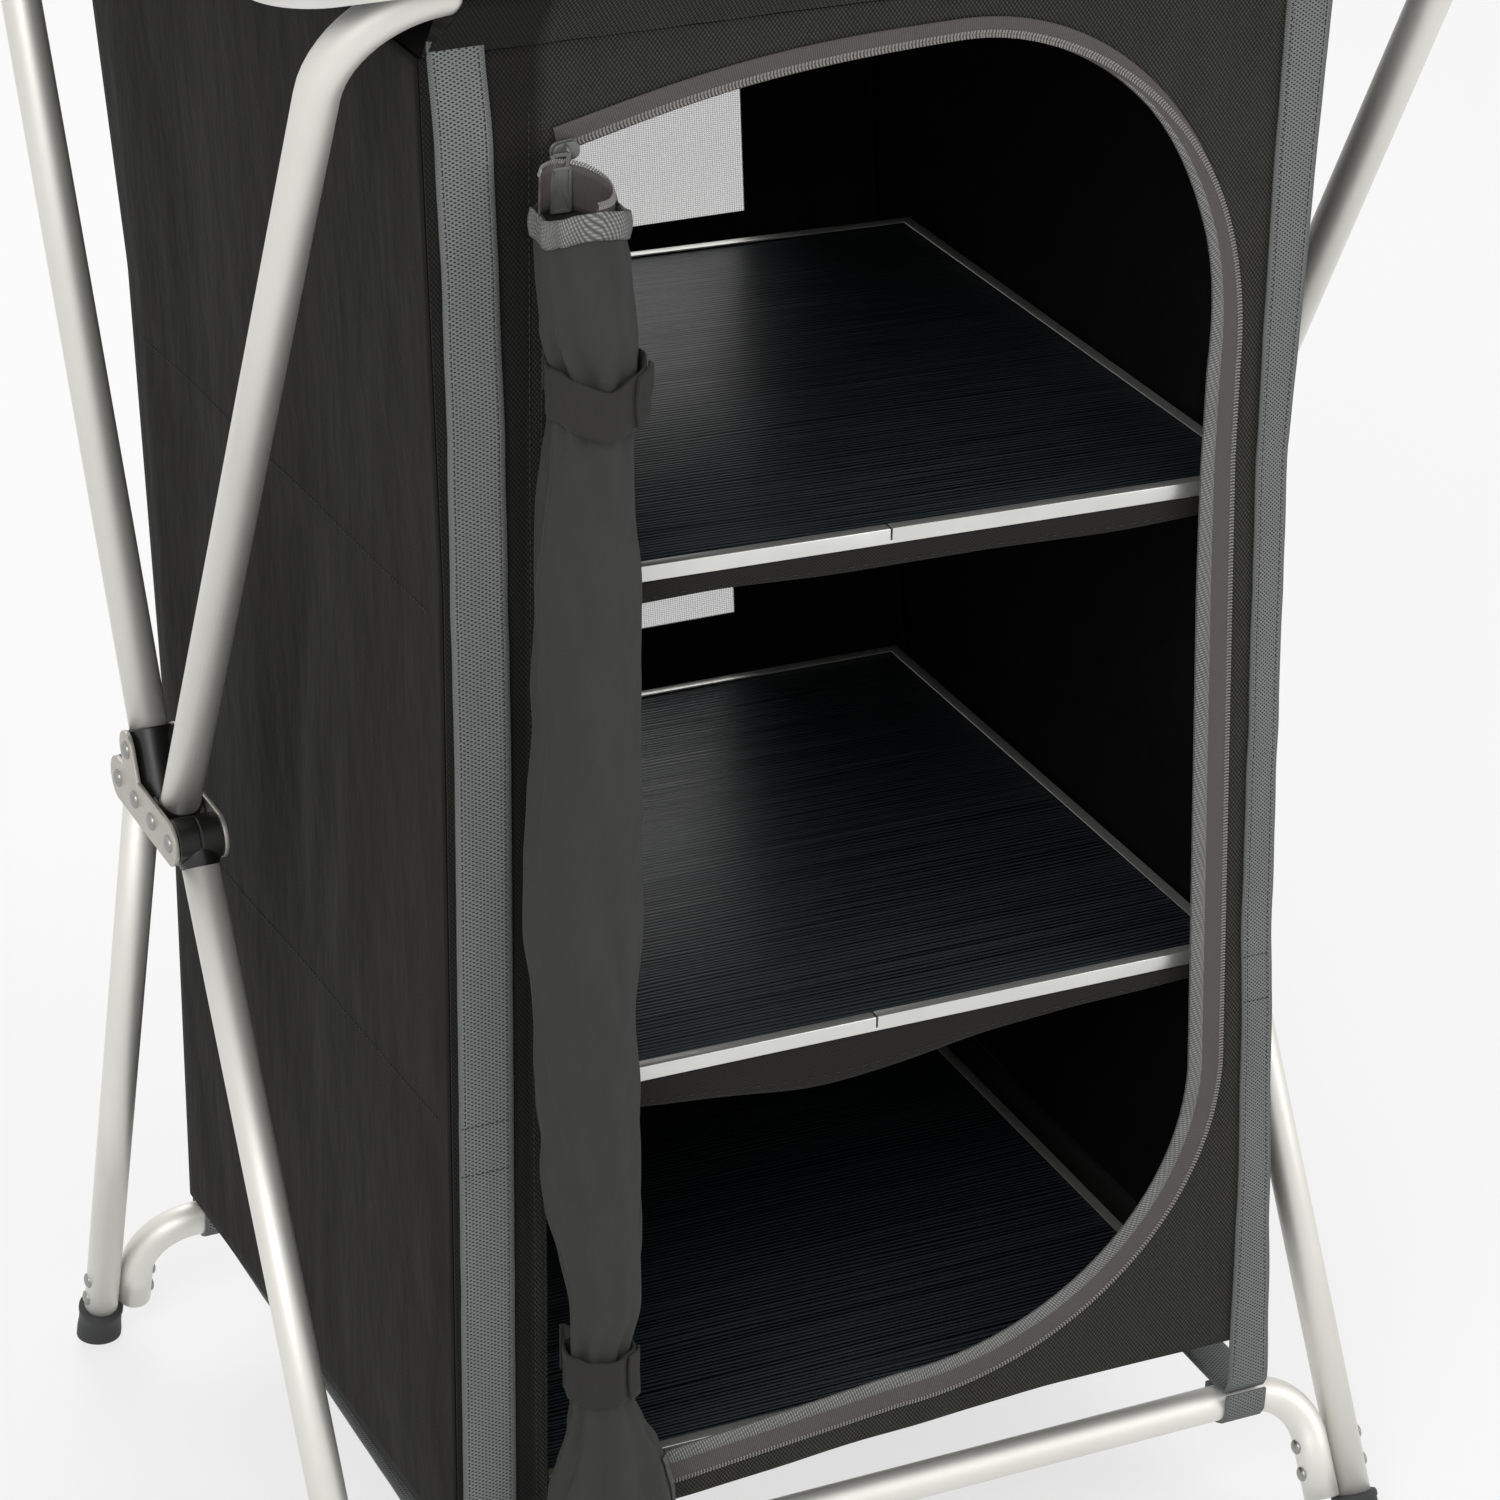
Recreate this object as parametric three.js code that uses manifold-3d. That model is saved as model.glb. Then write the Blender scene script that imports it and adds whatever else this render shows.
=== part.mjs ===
// Folding camping cupboard: two crossed tube frames, a fabric box with three shelves,
// a zipped door that is rolled up and tied back, and a worktop on the upper bars.
// Millimetres, +Z up, the front faces -Y. Sizes are given from the floor under the middle of the
// fabric box, and the whole group is then moved so that its origin is under the middle of the worktop.

import * as THREE from 'three';
import { mergeGeometries, mergeVertices } from 'three/addons/utils/BufferGeometryUtils.js';
import Module from 'manifold-3d';

const wasm = await Module();
wasm.setup();

// Driving dimensions of the fabric box
const box_width = 430;
const box_depth = 390;
const box_front_bottom = 105;
const box_drop_height = 29;
const cloth = 1.5;
const lean_height = 241;
const front_lean = 14;
const rear_lean_start = 300;
const rear_lean = 62;
const left_lean = 16;
const right_out_at_bottom = 2;
const right_in_at_top = 20;

// Driving dimensions of the frames
const frame_beside_box = 50;
const pivot_height = 399;
const pivot_row_y = 42.5;
const pivot_pitch = 25;
const upper_bar_height = 870;
const front_bar_before_box = 20;
const rear_bar_behind_box = 80;
const lower_bar_height = 74;
const lower_bar_under_box = 9;
const upper_tube_radius = 9.5;
const lower_tube_radius = 9;
const tube_wall = 1.2;
const upper_bend_radius = 50;
const lower_bend_radius = 30;

// Clearances
const gap = 0.3;
const cut_overrun = 4;

// Hinge bracket
const plate_thickness = 2;
const plate_arm_radius = 11;
const plate_lobe_radius = 9.5;
const lobe_reach = 24;
const spacer_thickness = 1.2;
const sleeve_past_rivet = 9;
const rivet_radius = 2.5;
const rivet_head_radius = 4.6;
const rivet_head_height = 2.2;
const barrel_radius = 11.2;
const tube_start = 13.5;
const plug_length = 22;
const rear_tube_below_pivot = 8;

// Feet and the rivets that join the lower bars to the legs
const foot_wall = 2.6;
const foot_grip = 14;
const leg_end_height = 9;
const tail_to_foot = 1.5;
const tail_rivet_first = 2;
const tail_rivet_pitch = 14;
const tail_rivet_radius = 2;
const tail_rivet_head_radius = 4.2;
const tail_rivet_head_height = 1.8;

// Webbing
const webbing_width = 24;
const webbing_thickness = 1.6;

// Shelves, from the floor board up
const shelf_heights = [132, 337, 584];
const shelf_names = ['floor_shelf', 'middle_shelf', 'upper_shelf'];
const shelf_thickness = 7.5;
const shelf_side_room = 25;
const shelf_front_room = 8;
const shelf_rear_room = 18;
const board_thickness = 5;
const trim_depth = 6;
const board_into_trim = 3.5;
const half_gap = 0.5;
const trim_web = 1.5;
const sling_thickness = 1.2;
const valance_drop = { middle_shelf: 24, upper_shelf: 11 };
const valance_wave = { middle_shelf: 6, upper_shelf: 1.5 };

// Door opening, zip and rolled door
const opening_left_margin = 45;
const opening_right_margin = 32;
const opening_taper = 17;
const opening_above_bottom = 6;
const opening_low_rise = 17;
const opening_below_top = 12;
const opening_high_rise = 24;
const top_corner_width = 150;
const top_corner_height = 184;
const low_corner_width = 170;
const low_corner_height = 155;
const tape_width = 20;
const tape_thickness = 1.4;
const panel_hem = 16;
const roll_into_opening = 14;
const roll_half_width = 22;
const roll_half_depth = 15;
const roll_below_opening = 39;
const roll_below_box = 6;
const roll_stand_off = 4.5;
const roll_flap_width = 8;
const tie_height = 28;
const tie_thickness = 1.4;
const tie_gap = 0.5;
const tie_tongue_width = 10;
const upper_tie_drop = 81;
const lower_tie_height = 197;
const slider_length = 13;
const slider_width = 9;
const slider_depth = 5;
const slider_into_opening = 4;
const pull_pin_radius = 1;
const pull_width = 8.5;
const pull_length = 24;
const pull_thickness = 1.8;
const pull_eye = 2.6;

// Net windows in the rear panel
const window_half_width = 107;
const window_centres = { upper: 12, middle: -2 };
const window_below_top = 98;
const window_pitch = 217;
const window_height = 160;
const net_border = 6;
const net_columns = 8;
const net_rows = 6;
const net_strand = 3;
const net_thickness = 1;

// Worktop
const worktop_side_overhang = 39;
const worktop_end_overhang = 34;
const worktop_board = 12;
const worktop_rim_width = 7;
const worktop_corner = 28;
const rim_drop = 1.5;
const rim_ledge = 4;

// Facets
const tube_sides = 12;
const bend_steps = 6;
const round_sides = 18;
const rivet_sides = 8;
const arc_steps = 8;
const roll_sides = 20;

// Values worked out from the sizes above
const box_half_width = box_width / 2;
const box_half_depth = box_depth / 2;
const box_top = upper_bar_height - box_drop_height;
const front_lean_start = box_top - lean_height;
const side_plane = box_half_width + frame_beside_box;
const upper_front_bar_y = -box_half_depth - front_bar_before_box;
const upper_rear_bar_y = box_half_depth + rear_bar_behind_box;
const lower_bar_y = box_half_depth - lower_bar_under_box;
const plate_inner = upper_tube_radius + gap + spacer_thickness + gap;
const sleeve_inner = upper_tube_radius + gap;
const sleeve_outer = sleeve_inner + cloth;
const bar_length_half = side_plane - upper_bend_radius;
const strap_low = lower_bar_height + lower_tube_radius + gap;
const strap_high = strap_low + webbing_thickness;
const side_bottom = strap_high + gap;
const tail_x = side_plane - 2 * lower_tube_radius - gap;
const shelf_half_width = box_half_width - shelf_side_room;
const shelf_front = -box_half_depth + shelf_front_room;
const shelf_rear = box_half_depth - shelf_rear_room;
const opening_left = -box_half_width + opening_left_margin;
const opening_right = box_half_width - opening_right_margin;
const opening_low = box_front_bottom + opening_above_bottom;
const opening_high = box_top - opening_below_top;
const opening_left_high = opening_high - opening_high_rise;
const roll_x = opening_left + roll_into_opening;
const roll_top = opening_left_high - roll_below_opening;
const roll_bottom = box_front_bottom - roll_below_box;
const upper_tie_height = roll_top - upper_tie_drop;
const slider_x = opening_left + slider_into_opening;
const upper_window_low = box_top - window_below_top - window_height;
const window_lows = { upper: upper_window_low, middle: upper_window_low - window_pitch };
const worktop_front = upper_front_bar_y - worktop_end_overhang;
const worktop_rear = upper_rear_bar_y + worktop_end_overhang;

const pivot_y = {
  rear_lower: pivot_row_y + 1.5 * pivot_pitch,
  rear_upper: pivot_row_y + 0.5 * pivot_pitch,
  front_upper: pivot_row_y - 0.5 * pivot_pitch,
  front_lower: pivot_row_y - 1.5 * pivot_pitch,
};
const upper_rise = upper_bar_height - pivot_height;
const lower_fall = pivot_height - lower_bar_height;
const splay = {
  front_upper: Math.atan2(pivot_y.front_upper - upper_front_bar_y, upper_rise),
  rear_upper: Math.atan2(upper_rear_bar_y - pivot_y.rear_upper, upper_rise),
  front_lower: Math.atan2(pivot_y.front_lower + lower_bar_y, lower_fall),
  rear_lower: Math.atan2(lower_bar_y - pivot_y.rear_lower, lower_fall),
};

// Materials, one for each kind of surface
const finish = {
  tube: { color: 0xc9c7be, roughness: 0.36, metalness: 0.9 },
  plate: { color: 0x9c968a, roughness: 0.42, metalness: 0.85 },
  rivet: { color: 0x8a8478, roughness: 0.35, metalness: 0.9 },
  plastic: { color: 0x141414, roughness: 0.35, metalness: 0 },
  rubber: { color: 0x3c3d3c, roughness: 0.75, metalness: 0 },
  fabric: { color: 0x23221f, roughness: 0.9, metalness: 0 },
  lining: { color: 0x4a4a45, roughness: 0.7, metalness: 0 },
  webbing: { color: 0x5d6264, roughness: 0.9, metalness: 0 },
  tape: { color: 0x6d6660, roughness: 0.85, metalness: 0 },
  net: { color: 0xd8d5d0, roughness: 0.8, metalness: 0 },
  laminate: { color: 0x101316, roughness: 0.45, metalness: 0 },
  trim: { color: 0xd5d4cd, roughness: 0.3, metalness: 0.85 },
  zip_metal: { color: 0x6f706a, roughness: 0.45, metalness: 0.6 },
};

const cupboard = new THREE.Group();
cupboard.position.y = -(worktop_front + worktop_rear) / 2;

function addMesh(name, kind, geometry, parent = cupboard) {
  const mesh = new THREE.Mesh(geometry, new THREE.MeshStandardMaterial(finish[kind]));
  mesh.name = name;
  parent.add(mesh);
  return mesh;
}

// Solids

function positionsOnly(geometry) {
  const plain = geometry.clone();
  plain.deleteAttribute('normal');
  plain.deleteAttribute('uv');
  return mergeVertices(plain, 1e-4);
}

function toSolid(geometry) {
  const plain = positionsOnly(geometry);
  const vertProperties = new Float32Array(plain.attributes.position.array);
  const triVerts = new Uint32Array(plain.index.array);
  return new wasm.Manifold(new wasm.Mesh({ numProp: 3, vertProperties, triVerts }));
}

function toGeometry(solid) {
  const mesh = solid.getMesh();
  const positions = new Float32Array(mesh.numVert * 3);
  for (let i = 0; i < mesh.numVert; i += 1) {
    for (let k = 0; k < 3; k += 1) positions[3 * i + k] = mesh.vertProperties[mesh.numProp * i + k];
  }
  const geometry = new THREE.BufferGeometry();
  geometry.setAttribute('position', new THREE.BufferAttribute(positions, 3));
  geometry.setIndex(new THREE.BufferAttribute(new Uint32Array(mesh.triVerts), 1));
  geometry.computeVertexNormals();
  return geometry;
}

function joined(geometries) {
  return mergeGeometries(geometries.map(positionsOnly));
}

function cut(geometry, ...tools) {
  return toGeometry(tools.reduce((solid, tool) => solid.subtract(toSolid(tool)), toSolid(geometry)));
}

function fused(...geometries) {
  const [first, ...others] = geometries.map(toSolid);
  return toGeometry(others.reduce((solid, other) => solid.add(other), first));
}

function mirroredX(geometry) {
  const copy = positionsOnly(geometry);
  copy.scale(-1, 1, 1);
  const index = copy.index.array;
  for (let i = 0; i < index.length; i += 3) [index[i], index[i + 1]] = [index[i + 1], index[i]];
  return copy;
}

function boxBetween(low, high) {
  const size = high.map((value, k) => value - low[k]);
  const box = new THREE.BoxGeometry(...size);
  return box.translate(...low.map((value, k) => value + size[k] / 2));
}

function slab(shape, thickness) {
  const settings = { depth: thickness, bevelEnabled: false, curveSegments: arc_steps };
  return new THREE.ExtrudeGeometry(shape, settings);
}

// A shape drawn in (x, z) and extruded along +Y from y_from
function plateXZ(shape, y_from, thickness) {
  const plate = slab(shape, thickness);
  plate.rotateX(Math.PI / 2);
  return plate.translate(0, y_from + thickness, 0);
}

// A shape drawn in (y, z) and extruded along +X from x_from
function plateYZ(shape, x_from, thickness) {
  const plate = slab(shape, thickness);
  const turn = new THREE.Matrix4().makeBasis(
    new THREE.Vector3(0, 1, 0), new THREE.Vector3(0, 0, 1), new THREE.Vector3(1, 0, 0));
  return plate.applyMatrix4(turn).translate(x_from, 0, 0);
}

// A shape drawn in (x, y) and extruded along +Z from z_from
function plateXY(shape, z_from, thickness) {
  const plate = slab(shape, thickness);
  return plate.translate(0, 0, z_from);
}

function polygon(points) {
  return new THREE.Shape(points.map(([a, b]) => new THREE.Vector2(a, b)));
}

function circlePoints(radius, sides) {
  return Array.from({ length: sides }, (_, i) => {
    const turn = (2 * Math.PI * i) / sides;
    return new THREE.Vector2(radius * Math.cos(turn), radius * Math.sin(turn));
  });
}

// A path through listed points, one step to each, so straight runs take a single step
class Run extends THREE.Curve {
  constructor(points) {
    super();
    this.points = points;
  }

  getPoint(t, target = new THREE.Vector3()) {
    const place = t * (this.points.length - 1);
    const k = Math.min(Math.floor(place), this.points.length - 2);
    return target.copy(this.points[k]).lerp(this.points[k + 1], place - k);
  }

  getPointAt(u, target) {
    return this.getPoint(u, target);
  }

  getTangentAt(u, target = new THREE.Vector3()) {
    const last = this.points.length - 1;
    const k = Math.round(u * last);
    const before = this.points[Math.max(k - 1, 0)];
    const here = this.points[k];
    const after = this.points[Math.min(k + 1, last)];
    const arrive = here.clone().sub(before).normalize();
    const leave = after.clone().sub(here).normalize();
    return target.copy(arrive).add(leave).normalize();
  }
}

function pipe(points, radius, wall) {
  const section = new THREE.Shape(circlePoints(radius, tube_sides));
  section.holes.push(new THREE.Path(circlePoints(radius - wall, tube_sides)));
  const extrudePath = new Run(points);
  return new THREE.ExtrudeGeometry(section, { steps: points.length - 1, extrudePath, bevelEnabled: false });
}

// A U of tube in the XZ plane: its legs stand at x = +-half and its bar lies at height bar
function uPoints(half, foot, bar, bend) {
  const side = Math.sign(bar - foot);
  const corner = [];
  for (let i = 0; i <= bend_steps; i += 1) {
    const turn = (Math.PI / 2) * (i / bend_steps);
    const x = -half + bend * (1 - Math.cos(turn));
    corner.push(new THREE.Vector3(x, 0, bar - side * bend * (1 - Math.sin(turn))));
  }
  const left = [new THREE.Vector3(-half, 0, foot), ...corner];
  const right = left.map((point) => new THREE.Vector3(-point.x, 0, point.z)).reverse();
  return [...left, ...right];
}

function rodX(radius, from, to, y, z, sides = round_sides) {
  const rod = new THREE.CylinderGeometry(radius, radius, to - from, sides);
  return rod.rotateZ(Math.PI / 2).translate((from + to) / 2, y, z);
}

function rodZ(radius, from, to, x, sides = round_sides) {
  const rod = new THREE.CylinderGeometry(radius, radius, to - from, sides);
  return rod.rotateX(Math.PI / 2).translate(x, 0, (from + to) / 2);
}

// A rivet along X, with a domed head outside each of the two faces it holds together
function rivet(radius, head_radius, head_height, from, to, y, z) {
  const profile = [
    [0, from - head_height], [0.55 * head_radius, from - 0.85 * head_height], [head_radius, from - gap],
    [radius, from - gap], [radius, to + gap], [head_radius, to + gap],
    [0.55 * head_radius, to + 0.85 * head_height], [0, to + head_height],
  ].map(([r, x]) => new THREE.Vector2(r, x));
  return new THREE.LatheGeometry(profile, rivet_sides).rotateZ(-Math.PI / 2).translate(0, y, z);
}

// Half-frames: each is drawn with its leg along +Z from its pivot and turned into place

function frameGroup(name, turn) {
  const group = new THREE.Group();
  group.position.set(0, pivot_y[name], pivot_height);
  group.rotation.x = turn;
  cupboard.add(group);
  return group;
}

const front_upper = frameGroup('front_upper', splay.front_upper);
const rear_upper = frameGroup('rear_upper', -splay.rear_upper);
const front_lower = frameGroup('front_lower', Math.PI - splay.front_lower);
const rear_lower = frameGroup('rear_lower', Math.PI + splay.rear_lower);

// Upper frames, each one bent tube
const front_bar_reach = upper_rise / Math.cos(splay.front_upper);
const rear_bar_reach = upper_rise / Math.cos(splay.rear_upper);

function upperFrame(foot, reach) {
  const points = uPoints(side_plane, foot, reach, upper_bend_radius);
  return pipe(points, upper_tube_radius, tube_wall);
}

addMesh('upper_front_frame', 'tube', upperFrame(tube_start, front_bar_reach), front_upper);

function tubeHole(z) {
  const reach = side_plane + upper_tube_radius + cut_overrun;
  return rodX(rivet_radius + gap, -reach, reach, 0, z, 12);
}

const rear_frame_tube = upperFrame(-rear_tube_below_pivot, rear_bar_reach);
addMesh('upper_rear_frame', 'tube', cut(rear_frame_tube, tubeHole(0), tubeHole(lobe_reach)), rear_upper);

// Lower frames: two straight legs, and a bar whose turned-down ends are riveted inside them
function lowerFrame(name, group) {
  const lean = Math.cos(splay[name]);
  const bar = lower_fall / lean;
  const leg_end = (pivot_height - leg_end_height) / lean;
  const foot_top = leg_end - foot_grip;
  const tail_end = foot_top - tail_to_foot;
  const rivets_at = [0, 1].map((k) => bar + lower_bend_radius + tail_rivet_first + k * tail_rivet_pitch);
  const side = name.split('_')[0];

  const leg = pipe([new THREE.Vector3(0, 0, tube_start), new THREE.Vector3(0, 0, leg_end)],
    lower_tube_radius, tube_wall);
  const reach = lower_tube_radius + cut_overrun;
  const leg_holes = rivets_at.map((z) => rodX(tail_rivet_radius + gap, -reach, reach, 0, z, 12));
  const drilled_leg = cut(leg, ...leg_holes);
  const leg_places = { left: -side_plane, right: side_plane };
  for (const [hand, x] of Object.entries(leg_places)) {
    addMesh(`lower_${side}_leg_${hand}`, 'tube', drilled_leg.clone().translate(x, 0, 0), group);
  }

  const bar_tube = pipe(uPoints(tail_x, tail_end, bar, lower_bend_radius), lower_tube_radius, tube_wall);
  const inner_face = tail_x - lower_tube_radius + 2 * gap;
  const outer_face = side_plane + lower_tube_radius;
  const rivets = rivets_at.map((z) => rivet(tail_rivet_radius, tail_rivet_head_radius,
    tail_rivet_head_height, inner_face, outer_face, 0, z));
  const both = [...rivets, ...rivets.map(mirroredX)];
  addMesh(`lower_${side}_crossbar`, 'tube', fused(bar_tube, ...both), group);

  // Rubber feet, cut level with the floor
  const foot_radius = lower_tube_radius + gap + foot_wall;
  const sole = (pivot_height + foot_radius) / lean;
  const profile = [
    [0, leg_end + gap], [lower_tube_radius + gap, leg_end + gap], [lower_tube_radius + gap, foot_top],
    [foot_radius - foot_wall / 3, foot_top], [foot_radius, foot_top + foot_wall / 2],
    [foot_radius, sole], [0, sole],
  ].map(([r, z]) => new THREE.Vector2(r, -z)).reverse();
  const cup = new THREE.LatheGeometry(profile, round_sides).rotateX(-Math.PI / 2);
  group.updateMatrix();
  const floor_reach = side_plane + sole;
  const ground = boxBetween([-floor_reach, -floor_reach, -floor_reach], [floor_reach, floor_reach, 0]);
  for (const [hand, x] of Object.entries(leg_places)) {
    const placed = cup.clone().translate(x, 0, 0).applyMatrix4(group.matrix);
    addMesh(`foot_${side}_${hand}`, 'rubber', cut(placed, ground));
  }
}

lowerFrame('front_lower', front_lower);
lowerFrame('rear_lower', rear_lower);

// Black knuckles on the three tube ends that pivot between the plates of each bracket
function knuckles(name, radius, group) {
  const half = plate_inner - gap;
  const barrel = rodX(barrel_radius, -half, half, 0, 0);
  const collar = rodZ(radius, 0, tube_start - gap, 0);
  const plug = rodZ(radius - tube_wall - gap, 0, tube_start + plug_length, 0);
  const hole = rodX(rivet_radius + gap, -half - cut_overrun, half + cut_overrun, 0, 0, 12);
  const knuckle = cut(fused(barrel, collar, plug), hole);
  addMesh(`${name}_knuckle_left`, 'plastic', knuckle.clone().translate(-side_plane, 0, 0), group);
  addMesh(`${name}_knuckle_right`, 'plastic', knuckle.translate(side_plane, 0, 0), group);
}

knuckles('upper_front', upper_tube_radius, front_upper);
knuckles('lower_front', lower_tube_radius, front_lower);
knuckles('lower_rear', lower_tube_radius, rear_lower);

// A black sleeve round each rear upper tube keeps the bracket plates off it
const bracket_sleeve_inner = upper_tube_radius + gap;
const bracket_sleeve_outer = bracket_sleeve_inner + spacer_thickness;
const bracket_sleeve_top = lobe_reach + sleeve_past_rivet;
const bracket_sleeve_profile = [
  [bracket_sleeve_inner, -rear_tube_below_pivot], [bracket_sleeve_outer, -rear_tube_below_pivot],
  [bracket_sleeve_outer, bracket_sleeve_top], [bracket_sleeve_inner, bracket_sleeve_top],
  [bracket_sleeve_inner, -rear_tube_below_pivot],
].map(([r, z]) => new THREE.Vector2(r, z));
const bracket_sleeve = new THREE.LatheGeometry(bracket_sleeve_profile, round_sides).rotateX(Math.PI / 2);
const sleeve_places = { left: -side_plane, right: side_plane };
for (const [hand, x] of Object.entries(sleeve_places)) {
  const placed = bracket_sleeve.clone().translate(x, 0, 0);
  addMesh(`bracket_sleeve_${hand}`, 'plastic', cut(placed, tubeHole(0), tubeHole(lobe_reach)), rear_upper);
}

// Bracket plates: a level arm over the row of pivots and a lobe up along the rear upper tube
function capsule(from, to, radius) {
  const heading = Math.atan2(to[1] - from[1], to[0] - from[0]);
  const shape = new THREE.Shape();
  shape.absarc(from[0], from[1], radius, heading + Math.PI / 2, heading + 1.5 * Math.PI, false);
  shape.absarc(to[0], to[1], radius, heading - Math.PI / 2, heading + Math.PI / 2, false);
  shape.closePath();
  return shape;
}

const lobe_end = [
  pivot_y.rear_upper + lobe_reach * Math.sin(splay.rear_upper),
  pivot_height + lobe_reach * Math.cos(splay.rear_upper),
];
const bracket_pins = [...Object.values(pivot_y).map((y) => [y, pivot_height]), lobe_end];

function bracketPlate(x_from) {
  const arm_from = [pivot_y.rear_lower, pivot_height];
  const arm_to = [pivot_y.front_lower, pivot_height];
  const arm = plateYZ(capsule(arm_from, arm_to, plate_arm_radius), x_from, plate_thickness);
  const lobe_from = [pivot_y.rear_upper, pivot_height];
  const lobe = plateYZ(capsule(lobe_from, lobe_end, plate_lobe_radius), x_from, plate_thickness);
  return fused(arm, lobe);
}

// The rivets are set fast in the outer plate and turn free in the inner one
const inner_plate_from = side_plane - plate_inner - plate_thickness;
const outer_plate_to = side_plane + plate_inner + plate_thickness;
const rivet_holes = bracket_pins.map(([y, z]) => rodX(rivet_radius + gap, inner_plate_from - cut_overrun,
  inner_plate_from + plate_thickness + cut_overrun, y, z, 12));
const inner_plate = cut(bracketPlate(inner_plate_from), ...rivet_holes);
const bracket_rivets = bracket_pins.map(([y, z]) => rivet(rivet_radius, rivet_head_radius,
  rivet_head_height, inner_plate_from, outer_plate_to - 2 * gap, y, z));
const outer_plate = fused(bracketPlate(side_plane + plate_inner), ...bracket_rivets);
for (const [name, plate] of Object.entries({ inner: inner_plate, outer: outer_plate })) {
  addMesh(`bracket_${name}_plate_right`, 'plate', plate);
  addMesh(`bracket_${name}_plate_left`, 'plate', mirroredX(plate));
}

// Fabric box: its left, front and rear lean out towards the upper bars, and its right side leans in

function frontY(z) {
  return -box_half_depth - front_lean * Math.max(0, z - front_lean_start) / (box_top - front_lean_start);
}

function rearY(z) {
  return box_half_depth + rear_lean * Math.max(0, z - rear_lean_start) / (box_top - rear_lean_start);
}

function leftX(z) {
  return -box_half_width - left_lean * Math.max(0, z - front_lean_start) / (box_top - front_lean_start);
}

function rightX(z) {
  const share = (Math.min(z, front_lean_start) - side_bottom) / (front_lean_start - side_bottom);
  return box_half_width + right_out_at_bottom - (right_out_at_bottom + right_in_at_top) * share;
}

function shifted(solid, shift) {
  const geometry = toGeometry(solid);
  const place = geometry.attributes.position;
  for (let i = 0; i < place.count; i += 1) {
    const [dx, dy] = shift(place.getZ(i));
    place.setX(i, place.getX(i) + dx);
    place.setY(i, place.getY(i) + dy);
  }
  return geometry;
}

// A solid drawn upright is parted at a height, and each part is moved by its own shift(z)
function leaned(geometry, height, shift_above, shift_below = () => [0, 0]) {
  const reach = 2 * (box_top + box_width + box_depth);
  const above = toSolid(boxBetween([-reach, -reach, height], [reach, reach, reach]));
  const solid = toSolid(geometry);
  const upper = shifted(solid.intersect(above), shift_above);
  const lower = solid.subtract(above);
  if (lower.isEmpty()) return upper;
  return toGeometry(toSolid(shifted(lower, shift_below)).add(toSolid(upper)));
}

function leanedFront(geometry) {
  return leaned(geometry, front_lean_start, (z) => [0, frontY(z) + box_half_depth]);
}

function leanedRear(geometry) {
  return leaned(geometry, rear_lean_start, (z) => [0, rearY(z) - box_half_depth]);
}

// Outline of the door opening, drawn in by inset; its left side is straight, with no zip
function openingPoints(inset) {
  const low_hub = [opening_right - low_corner_width, opening_low + opening_low_rise + low_corner_height];
  const high_hub = [opening_right - opening_taper - top_corner_width, opening_high - top_corner_height];
  const points = [[opening_left, opening_low + inset]];
  const steps = 8;
  for (let i = 0; i <= steps; i += 1) {
    const turn = (Math.PI / 2) * (i / steps);
    points.push([low_hub[0] + (low_corner_width - inset) * Math.sin(turn),
      low_hub[1] - (low_corner_height - inset) * Math.cos(turn)]);
  }
  for (let i = 0; i <= steps; i += 1) {
    const turn = (Math.PI / 2) * (i / steps);
    points.push([high_hub[0] + (top_corner_width - inset) * Math.cos(turn),
      high_hub[1] + (top_corner_height - inset) * Math.sin(turn)]);
  }
  points.push([opening_left, opening_left_high - inset]);
  return points;
}

// Outline of the front and rear panels, whose lower edges lie at different heights
function panelOutline(bottom) {
  return polygon([
    [leftX(bottom), bottom], [rightX(bottom), bottom], [rightX(front_lean_start), front_lean_start],
    [rightX(box_top), box_top], [leftX(box_top), box_top], [leftX(front_lean_start), front_lean_start],
  ]);
}

const front_face = -box_half_depth;
const front_outline = panelOutline(box_front_bottom);
front_outline.holes.push(new THREE.Path(openingPoints(panel_hem).map(([x, z]) => new THREE.Vector2(x, z))));
addMesh('front_panel', 'fabric', leanedFront(plateXZ(front_outline, front_face, cloth)));

// Zip tape: a C-shaped band on the front of the panel, open along the left of the door
const tape_outline = openingPoints(0);
const tape_inner = openingPoints(tape_width).reverse();
const tape_back = front_face - gap;
const tape = plateXZ(polygon([...tape_outline, ...tape_inner]), tape_back - tape_thickness, tape_thickness);
addMesh('zip_tape', 'tape', leanedFront(tape));

const window_cuts = Object.entries(window_lows).map(([name, low]) => boxBetween(
  [window_centres[name] - window_half_width, box_half_depth - cloth - cut_overrun, low],
  [window_centres[name] + window_half_width, box_half_depth + cut_overrun, low + window_height]));
addMesh('rear_panel', 'fabric', leanedRear(
  cut(plateXZ(panelOutline(side_bottom), box_half_depth - cloth, cloth), ...window_cuts)));

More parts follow.
